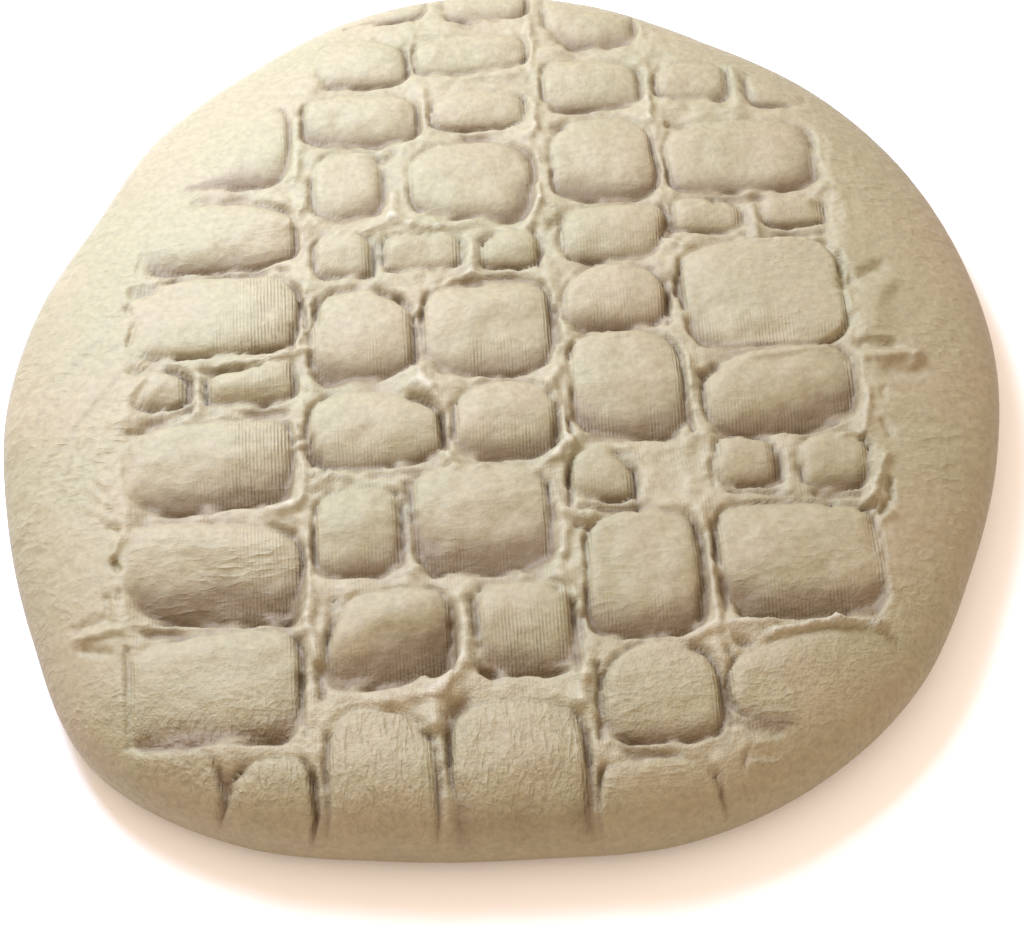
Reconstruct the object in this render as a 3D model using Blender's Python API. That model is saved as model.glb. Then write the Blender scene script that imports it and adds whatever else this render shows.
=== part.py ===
"""A hand-pressed pat of polymer clay with a cobblestone pattern rolled into its top.

The pat is a low dome with a rounded rim and a flat underside, which rests on the table at
height zero. The roller ran level along Y, so the courses of stones run along Y too, and the
pattern fades toward the rim, where the dome falls below the roller. Ridges of clay, squeezed up
into the roller's joints, stand in the gutters between the stones.
"""

import math

import bmesh
import bpy

# The pat, in metres
PAT_RADIUS = 0.0300
PAT_HEIGHT = 0.0062
BELLY_HEIGHT = 0.0024
BASE_INSET = 0.0016
DOME_REACH = 0.0120

# The rolled pattern, in metres
COURSE_WIDTH = 0.0100
PATTERN_DEPTH = 0.0009
PATTERN_SHIFT = -0.00015
ROLL_SINK = 0.0002
WALL_DRAFT = 0.00015
SHOULDER_INSET = 0.00045
BROW_INSET = 0.0010
CROWN_INSET = 0.0019
ROOT_DEPTH = 0.0003
RIDGE_HEIGHT = 0.00038
RIDGE_HALF_WIDTH = 0.00055
CUT_OVERRUN = 0.0030

# Height of the stones' crowns
ROLLED_HEIGHT = PAT_HEIGHT - ROLL_SINK

# The pat's radius and the reach of its dome from the rim, at even steps of direction from +X
OUTLINE_SHARES = (
    0.973, 0.980, 0.993, 1.000, 0.993, 1.013, 1.025, 1.015, 0.979, 0.958, 0.923, 0.940,
    0.964, 0.987, 1.037, 1.113, 1.093, 1.037, 1.015, 1.037, 1.037, 1.017, 0.977, 0.967,
)
REACH_SHARES = (1.00, 0.65, 0.45, 1.15, 1.00, 0.60, 0.42, 0.85)

# Heights of a stone's wall, shoulder and brow, as shares of the pattern's depth
WALL_SHARE = 0.50
SHOULDER_SHARE = 0.77
BROW_SHARE = 0.93

# The smallest crown, as a share of its stone's foot, and how far each stone leans to its far side,
# as a share of the insets of its rings
SMALLEST_CROWN_SHARE = 0.32
LEAN_SHARE = 0.40

# The pattern's left and right edges, as shares of the course width from the middle of the pat
PATTERN_LEFT_SHARE = -2.13
PATTERN_RIGHT_SHARE = 2.09

# One row for each stone: its near-left, near-right, far-right and far-left corners and how far
# its far and near sides bulge, as shares of the course width, then how square its corners are
STONE_SHARES = (
    # Left course, from the far end to the near end
    ((-2.00, 1.40), (-1.19, 1.37), (-1.19, 2.07), (-1.85, 1.95), 0.03, 0.00, 4.0),
    ((-2.09, 0.75), (-1.16, 0.78), (-1.16, 1.21), (-2.05, 1.28), 0.03, 0.00, 4.0),
    ((-2.13, 0.11), (-1.17, 0.16), (-1.14, 0.64), (-2.12, 0.62), 0.07, 0.02, 4.0),
    ((-2.17, -0.24), (-1.80, -0.24), (-1.81, 0.00), (-2.17, -0.01), 0.03, 0.01, 3.0),
    ((-1.69, -0.24), (-1.19, -0.24), (-1.19, 0.06), (-1.69, -0.04), 0.01, 0.00, 5.0),
    ((-2.15, -0.89), (-1.22, -0.88), (-1.22, -0.37), (-2.15, -0.40), 0.02, 0.01, 5.0),
    ((-2.15, -1.65), (-1.18, -1.72), (-1.18, -1.16), (-2.16, -1.03), 0.09, 0.00, 4.5),
    ((-2.09, -2.42), (-1.20, -2.44), (-1.21, -1.75), (-2.09, -1.88), 0.02, 0.01, 5.0),
    ((-1.60, -3.10), (-1.15, -3.10), (-1.15, -2.59), (-1.59, -2.66), 0.08, 0.00, 3.5),
    ((-2.14, -2.95), (-1.63, -3.10), (-1.63, -2.50), (-2.14, -2.45), 0.01, 0.00, 5.0),
    # Second course
    ((-0.90, 2.70), (-0.29, 2.73), (-0.29, 3.10), (-0.90, 3.10), 0.00, 0.00, 5.0),
    ((-1.00, 2.17), (-0.43, 2.16), (-0.44, 2.48), (-0.98, 2.57), 0.03, 0.00, 4.0),
    ((-1.08, 1.69), (-0.38, 1.67), (-0.39, 2.06), (-1.07, 2.07), 0.01, 0.00, 4.0),
    ((-1.05, 1.10), (-0.62, 1.10), (-0.63, 1.61), (-1.03, 1.57), 0.03, 0.01, 4.0),
    ((-1.05, 0.66), (-0.71, 0.66), (-0.72, 0.96), (-1.04, 0.94), 0.02, 0.00, 4.0),
    ((-0.63, 0.66), (-0.18, 0.68), (-0.18, 0.92), (-0.63, 0.95), 0.02, 0.00, 4.0),
    ((-1.09, -0.14), (-0.50, -0.07), (-0.49, 0.43), (-1.06, 0.49), 0.09, 0.01, 4.0),
    ((-1.12, -0.74), (-0.36, -0.67), (-0.37, -0.32), (-1.11, -0.25), 0.08, 0.03, 4.0),
    ((-1.10, -1.45), (-0.61, -1.44), (-0.62, -0.90), (-1.09, -0.93), 0.04, 0.00, 4.5),
    ((-1.10, -2.16), (-0.38, -2.11), (-0.36, -1.58), (-0.97, -1.60), 0.04, 0.02, 4.0),
    ((-1.06, -3.10), (-0.50, -3.10), (-0.51, -2.45), (-1.06, -2.34), 0.11, 0.00, 4.0),
    # Middle course
    ((-0.18, 2.68), (0.35, 2.68), (0.35, 3.10), (-0.18, 3.10), 0.00, 0.00, 5.0),
    ((-0.37, 2.22), (0.32, 2.27), (0.32, 2.51), (-0.37, 2.50), 0.04, 0.01, 4.0),
    ((-0.29, 1.78), (0.28, 1.77), (0.28, 2.03), (-0.29, 2.01), 0.04, 0.00, 4.0),
    ((-0.48, 1.09), (0.24, 1.01), (0.29, 1.60), (-0.49, 1.56), 0.07, 0.00, 4.5),
    ((-0.05, 0.67), (0.29, 0.67), (0.28, 0.92), (-0.04, 0.90), 0.02, 0.00, 4.0),
    ((-0.43, -0.09), (0.30, -0.10), (0.30, 0.54), (-0.42, 0.49), 0.06, 0.02, 4.5),
    ((-0.29, -0.69), (0.30, -0.70), (0.30, -0.25), (-0.28, -0.27), 0.08, 0.02, 3.2),
    ((-0.54, -1.45), (0.20, -1.45), (0.21, -0.79), (-0.55, -0.78), 0.04, 0.00, 5.0),
    ((-0.24, -2.12), (0.27, -2.13), (0.27, -1.57), (-0.23, -1.57), 0.02, 0.00, 5.0),
    ((-0.42, -3.10), (0.28, -3.10), (0.28, -2.38), (-0.42, -2.35), 0.09, 0.00, 4.0),
    # Fourth course
    ((0.47, 2.40), (1.01, 2.39), (1.01, 3.00), (0.47, 3.00), 0.00, 0.00, 5.0),
    ((0.41, 1.87), (1.00, 1.90), (1.00, 2.22), (0.41, 2.27), 0.03, 0.00, 5.0),
    ((0.41, 1.18), (1.02, 1.19), (1.00, 1.75), (0.43, 1.73), 0.06, 0.00, 4.0),
    ((0.41, 0.68), (0.99, 0.69), (1.07, 1.09), (0.45, 1.07), 0.01, 0.00, 4.5),
    ((0.39, 0.17), (1.00, 0.18), (1.01, 0.53), (0.42, 0.52), 0.12, 0.01, 3.5),
    ((0.41, -0.58), (1.03, -0.60), (1.02, 0.07), (0.41, 0.09), 0.06, 0.02, 5.0),
    ((0.34, -1.02), (0.70, -1.04), (0.69, -0.80), (0.35, -0.75), 0.09, 0.00, 3.5),
    ((0.36, -1.90), (1.00, -1.88), (1.02, -1.18), (0.41, -1.18), 0.06, 0.01, 5.0),
    ((0.40, -2.57), (1.03, -2.58), (1.02, -2.07), (0.41, -2.11), 0.11, 0.01, 4.0),
    ((0.33, -3.10), (0.98, -3.10), (0.96, -2.74), (0.34, -2.73), 0.07, 0.00, 4.0),
    # Right course
    ((1.12, 1.92), (1.54, 1.90), (1.55, 2.19), (1.12, 2.20), 0.02, 0.00, 4.0),
    ((1.68, 1.84), (2.01, 1.83), (2.00, 2.05), (1.68, 2.15), 0.00, 0.00, 4.0),
    ((1.12, 1.20), (2.00, 1.20), (2.00, 1.67), (1.12, 1.67), 0.06, 0.00, 4.5),
    ((1.11, 0.86), (1.51, 0.85), (1.50, 1.04), (1.11, 1.11), 0.02, 0.00, 4.0),
    ((1.65, 0.87), (2.02, 0.87), (2.01, 1.04), (1.64, 1.09), 0.01, 0.00, 4.0),
    ((1.12, -0.03), (2.03, -0.04), (2.03, 0.69), (1.11, 0.74), 0.04, 0.00, 5.0),
    ((1.16, -0.63), (2.02, -0.59), (2.04, -0.07), (1.15, -0.17), 0.06, 0.02, 4.0),
    ((1.17, -0.99), (1.51, -1.00), (1.51, -0.71), (1.18, -0.69), 0.04, 0.00, 4.0),
    ((1.64, -1.04), (1.99, -1.05), (2.05, -0.69), (1.64, -0.71), 0.03, 0.00, 3.5),
    ((1.12, -1.84), (1.97, -1.85), (1.96, -1.17), (1.12, -1.12), 0.03, 0.00, 5.5),
    ((1.08, -2.49), (2.05, -2.56), (2.05, -1.95), (1.09, -2.11), 0.06, 0.03, 4.0),
    ((1.10, -3.00), (1.70, -3.00), (1.70, -2.60), (1.10, -2.58), 0.00, 0.00, 4.0),
)

# The ridges of clay that run along the gutters between the courses, and between two stones that
# lie side by side in one course: each a path in plan, as shares of the course width
ALONG_RIDGE_SHARES = (
    (
        (-1.13, 1.95), (-1.12, 1.62), (-1.13, 1.42), (-1.10, 1.10), (-1.12, 0.88), (-1.11, 0.64),
        (-1.09, 0.40), (-1.12, 0.12), (-1.15, -0.14), (-1.16, -0.40), (-1.17, -0.64),
        (-1.16, -0.92), (-1.14, -1.16), (-1.14, -1.50), (-1.15, -1.78), (-1.14, -2.08),
        (-1.15, -2.42), (-1.10, -2.80),
    ),
    (
        (-0.40, 2.62), (-0.40, 2.28), (-0.36, 2.02), (-0.33, 1.74), (-0.48, 1.62), (-0.56, 1.48),
        (-0.56, 1.16), (-0.65, 1.00), (-0.67, 0.76), (-0.60, 0.56), (-0.47, 0.40),
        (-0.47, 0.08), (-0.44, -0.16), (-0.34, -0.36), (-0.33, -0.62), (-0.46, -0.77),
        (-0.58, -0.94), (-0.58, -1.38), (-0.46, -1.53), (-0.31, -1.66), (-0.31, -1.98),
        (-0.40, -2.20), (-0.47, -2.42), (-0.46, -2.80),
    ),
    (
        (0.41, 2.75), (0.40, 2.40), (0.35, 2.16), (0.34, 1.76), (0.33, 1.40), (0.32, 1.12),
        (0.34, 0.84), (0.35, 0.56), (0.36, 0.20), (0.35, -0.16), (0.35, -0.50), (0.30, -0.76),
        (0.26, -1.02), (0.28, -1.34), (0.31, -1.64), (0.32, -1.98), (0.34, -2.30), (0.31, -2.80),
    ),
    (
        (1.06, 2.35), (1.05, 1.98), (1.06, 1.72), (1.06, 1.34), (1.09, 1.04), (1.06, 0.74),
        (1.06, 0.38), (1.07, 0.02), (1.09, -0.34), (1.08, -0.66), (1.02, -0.90), (1.05, -1.16),
        (1.06, -1.48), (1.05, -1.80), (1.04, -2.04), (1.05, -2.40), (1.02, -2.80),
    ),
    ((-1.75, 0.075), (-1.73, -0.325)),
    ((-0.12, 1.00), (-0.11, 0.60)),
    ((1.60, 2.12), (1.57, 1.785)),
    ((1.57, 1.17), (1.575, 0.775)),
    ((1.57, -0.63), (1.56, -1.12)),
)

# The ridges that run across a course, from its left to its right
CROSS_RIDGE_SHARES = (
    ((-1.98, 1.34), (-1.55, 1.33), (-1.08, 1.28)),
    ((-2.05, 0.69), (-1.60, 0.73), (-1.08, 0.71)),
    ((-2.14, 0.06), (-1.78, 0.05), (-1.50, 0.05), (-1.09, 0.12)),
    ((-2.14, -0.32), (-1.75, -0.30), (-1.13, -0.31)),
    ((-2.14, -0.95), (-1.70, -0.94), (-1.13, -1.03)),
    ((-2.14, -1.77), (-1.70, -1.76), (-1.11, -1.73)),
    ((-1.70, -2.46), (-1.11, -2.51)),
    ((-0.92, 2.64), (-0.38, 2.61), (0.44, 2.60)),
    ((-1.06, 2.12), (-0.38, 2.11), (0.38, 2.14)),
    ((-1.14, 1.65), (-0.70, 1.66), (-0.30, 1.70), (0.38, 1.70)),
    ((-1.13, 1.02), (-0.64, 1.02), (-0.10, 0.98), (0.37, 0.97)),
    ((-1.13, 0.58), (-0.80, 0.61), (-0.30, 0.59), (-0.10, 0.62), (0.38, 0.61)),
    ((-1.17, -0.19), (-0.80, -0.17), (-0.42, -0.19), (0.00, -0.15), (0.38, -0.18)),
    ((-1.19, -0.84), (-0.85, -0.82), (-0.50, -0.80)),
    ((-1.17, -1.52), (-0.52, -1.51), (0.33, -1.51)),
    ((-1.17, -2.27), (-0.78, -2.23), (-0.38, -2.23), (0.00, -2.21), (0.37, -2.24)),
    ((0.37, 2.34), (1.08, 2.33)),
    ((0.31, 1.84), (1.07, 1.83), (1.58, 1.81), (2.02, 1.80)),
    ((0.29, 1.13), (1.10, 1.14), (1.60, 1.14), (2.03, 1.14)),
    ((1.03, 0.79), (1.60, 0.80), (2.05, 0.79)),
    ((0.30, -0.67), (0.54, -0.65), (1.06, -0.68), (1.58, -0.65), (2.04, -0.64)),
    ((0.23, -1.08), (0.60, -1.10), (1.04, -1.09), (1.58, -1.09), (2.04, -1.12)),
    ((0.28, -1.97), (0.70, -1.94), (1.04, -1.97), (1.50, -1.90), (2.00, -1.89)),
    ((0.30, -2.64), (1.04, -2.63)),
)

# Facets
PAT_SIDES = 72
BASE_RINGS = 3
DOME_RINGS = 9
STONE_SIDES = 16

CLAY_COLOUR = (0.53, 0.47, 0.33, 1.0)
CLAY_ROUGHNESS = 0.75


def clear_scene():
    for old in list(bpy.data.objects):
        bpy.data.objects.remove(old, do_unlink=True)


def new_collection(name):
    collection = bpy.data.collections.new(name)
    bpy.context.scene.collection.children.link(collection)
    return collection


def clay_material():
    material = bpy.data.materials.new("polymer_clay")
    material.use_nodes = True
    surface = material.node_tree.nodes["Principled BSDF"]
    surface.inputs["Base Color"].default_value = CLAY_COLOUR
    surface.inputs["Roughness"].default_value = CLAY_ROUGHNESS
    surface.inputs["Metallic"].default_value = 0.0
    return material


def object_of(bm, name, collection):
    """An object of this shape, moved so that the middle of the pat's box is over the origin."""
    bmesh.ops.translate(bm, verts=bm.verts, vec=[-value for value in middle_of_belly()])
    bmesh.ops.recalc_face_normals(bm, faces=bm.faces)
    mesh = bpy.data.meshes.new(name)
    bm.to_mesh(mesh)
    bm.free()
    made = bpy.data.objects.new(name, mesh)
    collection.objects.link(made)
    return made


def loft(bm, rings):
    """Skins one closed ring after another, each with as many points, and caps both ends."""
    circle = bmesh.ops.create_circle(bm, segments=len(rings[0]), radius=1)
    loop = circle["verts"]
    edges = list({edge for vert in loop for edge in vert.link_edges})
    bmesh.ops.contextual_create(bm, geom=edges)
    for vert, point in zip(loop, rings[0]):
        vert.co = point
    for ring in rings[1:]:
        step = bmesh.ops.extrude_edge_only(bm, edges=edges)["geom"]
        edges = [item for item in step if isinstance(item, bmesh.types.BMEdge)]
        above = [follower(vert, step) for vert in loop]
        for vert, point in zip(above, ring):
            vert.co = point
        loop = above
    bmesh.ops.contextual_create(bm, geom=edges)


def follower(vert, step):
    """The new vertex that an extrusion raised from this one."""
    raised = {item for item in step if isinstance(item, bmesh.types.BMVert)}
    return next(other for edge in vert.link_edges for other in edge.verts if other in raised)


def smooth_share(shares, turn):
    """A closed smooth curve through evenly spaced shares, read at this part of a full turn."""
    place = turn * len(shares)
    start = math.floor(place)
    f = place - start
    a, b, c, d = (shares[(start + step) % len(shares)] for step in (-1, 0, 1, 2))
    return b + f / 2 * (c - a + f * (2 * a - 5 * b + 4 * c - d + f * (3 * b - 3 * c + d - a)))


def rim_directions():
    """For each side of the pat: its direction, its radius at the belly and its dome's reach."""
    sides = []
    for side in range(PAT_SIDES):
        turn = side / PAT_SIDES
        direction = (math.cos(math.tau * turn), math.sin(math.tau * turn))
        radius = PAT_RADIUS * smooth_share(OUTLINE_SHARES, turn)
        reach = DOME_REACH * smooth_share(REACH_SHARES, turn)
        sides.append((direction, radius, reach))
    return sides


def middle_of_belly():
    """The middle in plan of the belly, which is the widest ring of the pat."""
    belly = rim_ring(0.0, 0.0)
    return [(min(values) + max(values)) / 2 for values in zip(*belly)]


def rim_ring(height, inset_of_reach, inset=0.0):
    """A ring of the pat, drawn in from the belly by a share of the reach or by a length."""
    ring = []
    for (x, y), radius, reach in rim_directions():
        out = radius - inset - reach * inset_of_reach
        ring.append((out * x, out * y, height))
    return ring


def make_pat(collection):
    """The pat before it is rolled: flat base, round belly and a dome that is an elliptic arc."""
    rings = []
    for step in range(BASE_RINGS):
        angle = math.pi / 2 * step / BASE_RINGS
        height = BELLY_HEIGHT * (1 - math.cos(angle))
        rings.append(rim_ring(height, 0.0, BASE_INSET * (1 - math.sin(angle))))
    for step in range(DOME_RINGS + 1):
        share = (step / DOME_RINGS) ** 2
        rise = math.sqrt(1 - (1 - share) ** 2)
        rings.append(rim_ring(BELLY_HEIGHT + (PAT_HEIGHT - BELLY_HEIGHT) * rise, share))
    bm = bmesh.new()
    loft(bm, rings)
    return object_of(bm, "clay_slab", collection)


def on_stone(stone, u, v):
    """Plan position on a stone, u from -1 at its left to 1 and v from -1 at its near side to 1."""
    near_left, near_right, far_right, far_left, far_bulge, near_bulge, _ = stone
    weights = ((1 - u) * (1 - v), (1 + u) * (1 - v), (1 + u) * (1 + v), (1 - u) * (1 + v))
    corners = (near_left, near_right, far_right, far_left)
    x = sum(weight * corner[0] for weight, corner in zip(weights, corners)) / 4
    y = sum(weight * corner[1] for weight, corner in zip(weights, corners)) / 4
    y += (1 - u * u) * (far_bulge * max(v, 0) - near_bulge * max(-v, 0))
    return x * COURSE_WIDTH + PATTERN_SHIFT, y * COURSE_WIDTH


def stone_ring(stone, inset, height_share, below=0.0):
    """A ring of a stone, this far in from its foot and this high above the pattern's floor."""
    left, right = on_stone(stone, -1, 0), on_stone(stone, 1, 0)
    near, far = on_stone(stone, 0, -1), on_stone(stone, 0, 1)
    steepest = (1 - SMALLEST_CROWN_SHARE) / CROWN_INSET
    scale_u = 1 - inset * min(2 / (right[0] - left[0]), steepest)
    scale_v = 1 - inset * min(2 / (far[1] - near[1]), steepest)
    lean = (1 - scale_v) * LEAN_SHARE
    squareness = stone[-1]
    ring = []
    for side in range(STONE_SIDES):
        angle = math.tau * (side + 1 / 2) / STONE_SIDES
        u = math.copysign(abs(math.cos(angle)) ** (2 / squareness), math.cos(angle))
        v = math.copysign(abs(math.sin(angle)) ** (2 / squareness), math.sin(angle))
        x, y = on_stone(stone, u * scale_u, v * scale_v + lean)
        ring.append((x, y, ROLLED_HEIGHT - PATTERN_DEPTH * (1 - height_share) - below))
    return ring


def make_stones(collection):
    """Every stone as a loaf: its near side rises slowly and its far side stands steep."""
    bm = bmesh.new()
    for stone in STONE_SHARES:
        rings = [
            stone_ring(stone, 0.0, 0.0, below=ROOT_DEPTH),
            stone_ring(stone, WALL_DRAFT, WALL_SHARE),
            stone_ring(stone, SHOULDER_INSET, SHOULDER_SHARE),
            stone_ring(stone, BROW_INSET, BROW_SHARE),
            stone_ring(stone, CROWN_INSET, 1.0),
        ]
        loft(bm, rings)
    return object_of(bm, "pattern_stones", collection)


def ridge_ring(before, place, after):
    """A three-sided ring of a ridge, square to the way from the place before to that after."""
    run_x, run_y = after[0] - before[0], after[1] - before[1]
    run = math.hypot(run_x, run_y)
    aside_x, aside_y = -run_y / run * RIDGE_HALF_WIDTH, run_x / run * RIDGE_HALF_WIDTH
    x, y = place[0] * COURSE_WIDTH + PATTERN_SHIFT, place[1] * COURSE_WIDTH
    floor = ROLLED_HEIGHT - PATTERN_DEPTH
    return [
        (x - aside_x, y - aside_y, floor - ROOT_DEPTH),
        (x, y, floor + RIDGE_HEIGHT),
        (x + aside_x, y + aside_y, floor - ROOT_DEPTH),
    ]


def make_ridges(name, paths, collection):
    """Ridges that stand on the pattern's floor and are rooted below it."""
    bm = bmesh.new()
    for path in paths:
        befores = (path[0],) + path[:-1]
        afters = path[1:] + (path[-1],)
        loft(bm, [ridge_ring(*places) for places in zip(befores, path, afters)])
    return object_of(bm, name, collection)


def make_roller_face(collection):
    """The block that the roller pressed down, with its underside at the pattern's floor."""
    left = PATTERN_LEFT_SHARE * COURSE_WIDTH
    right = PATTERN_RIGHT_SHARE * COURSE_WIDTH
    end = PAT_RADIUS * max(OUTLINE_SHARES) + CUT_OVERRUN
    corners = ((left, -end), (right, -end), (right, end), (left, end))
    heights = (ROLLED_HEIGHT - PATTERN_DEPTH, PAT_HEIGHT + CUT_OVERRUN)
    bm = bmesh.new()
    loft(bm, [[(x, y, z) for x, y in corners] for z in heights])
    return object_of(bm, "roller_face", collection)


def boolean(target, operation, other):
    cut = target.modifiers.new(other.name, "BOOLEAN")
    cut.operation = operation
    cut.solver = "EXACT"
    cut.object = other


def hide_cutter(cutter):
    cutter.hide_render = True
    cutter.display_type = "WIRE"


def main():
    clear_scene()
    parts = new_collection("textured_clay_slab")
    cutters = new_collection("cutters")
    slab = make_pat(parts)
    relief = (
        make_ridges("ridges_along", ALONG_RIDGE_SHARES, cutters),
        make_stones(cutters),
        make_ridges("ridges_across", CROSS_RIDGE_SHARES, cutters),
    )
    roller_face = make_roller_face(cutters)
    for form in relief:
        boolean(roller_face, "DIFFERENCE", form)
    boolean(slab, "DIFFERENCE", roller_face)
    for cutter in (*relief, roller_face):
        hide_cutter(cutter)
    slab.data.materials.append(clay_material())
    slab.data.shade_smooth()
    slab.data.set_sharp_from_angle(angle=math.radians(50))


if __name__ == "__main__":
    main()
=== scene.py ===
"""A hand-pressed pat of polymer clay with a cobblestone pattern rolled into its top.

The pat is one lump of clay. Its top starts as a flat grid whose columns run along the courses of
stones, the grid's border is extruded into the rim, the belly and the base, and the whole is then
pressed into shape: a low dome, and over it the rolled pattern with its loaf-shaped stones, its
grooves and its crests of mortar.
"""

import math

import bmesh
import bpy
import numpy as np
from bpy.props import FloatProperty, FloatVectorProperty, IntProperty
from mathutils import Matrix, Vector, noise


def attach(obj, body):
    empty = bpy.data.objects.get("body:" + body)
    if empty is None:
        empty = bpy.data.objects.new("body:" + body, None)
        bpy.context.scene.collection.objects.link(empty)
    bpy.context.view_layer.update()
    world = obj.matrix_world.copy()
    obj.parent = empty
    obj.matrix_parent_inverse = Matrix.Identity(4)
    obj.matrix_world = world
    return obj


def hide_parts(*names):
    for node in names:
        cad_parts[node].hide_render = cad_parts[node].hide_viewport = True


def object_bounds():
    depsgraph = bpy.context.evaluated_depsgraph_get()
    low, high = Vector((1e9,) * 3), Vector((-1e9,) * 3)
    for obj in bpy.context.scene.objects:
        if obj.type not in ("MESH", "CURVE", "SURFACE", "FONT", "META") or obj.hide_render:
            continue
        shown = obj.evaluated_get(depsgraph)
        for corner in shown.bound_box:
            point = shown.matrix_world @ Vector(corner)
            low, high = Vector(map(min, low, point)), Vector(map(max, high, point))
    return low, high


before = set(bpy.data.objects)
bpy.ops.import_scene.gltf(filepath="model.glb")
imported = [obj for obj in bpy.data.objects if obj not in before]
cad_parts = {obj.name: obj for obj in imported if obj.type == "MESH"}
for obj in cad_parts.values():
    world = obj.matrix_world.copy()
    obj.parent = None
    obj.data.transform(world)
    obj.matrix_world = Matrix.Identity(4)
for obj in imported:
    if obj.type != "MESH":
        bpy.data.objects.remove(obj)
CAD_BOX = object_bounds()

bl_info = {
    "name": "Rolled Clay Pat",
    "version": (1, 0, 0),
    "blender": (4, 5, 0),
    "location": "View3D > Sidebar > Clay",
    "description": "A hand-pressed pat of clay with cobblestones rolled into it, on a studio table",
    "category": "Add Mesh",
}

MM = 0.001

# The pat's radius in millimetres, and how far its dome reaches in from the rim as a share of the
# usual reach, both at even steps of direction from +X
OUTLINE = (
    29.2, 29.4, 29.8, 30.0, 29.8, 30.4, 30.75, 30.45, 29.37, 28.74, 27.7, 28.2,
    28.92, 29.6, 31.1, 33.4, 32.8, 31.1, 30.45, 31.1, 31.1, 30.5, 29.3, 29.0,
)
REACH_SHARES = (1.00, 0.65, 0.45, 1.15, 1.00, 0.60, 0.42, 0.85)

# In millimetres along X: the place of the pattern from the point that the outline is measured
# from, the pattern's left and right edges, and the gutters beside its five courses
PATTERN_SHIFT = -0.15
PATTERN_LEFT = -21.5
PATTERN_RIGHT = 21.0
GUTTERS = (-21.8, -11.5, -4.1, 3.4, 10.7, 20.9)

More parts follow.
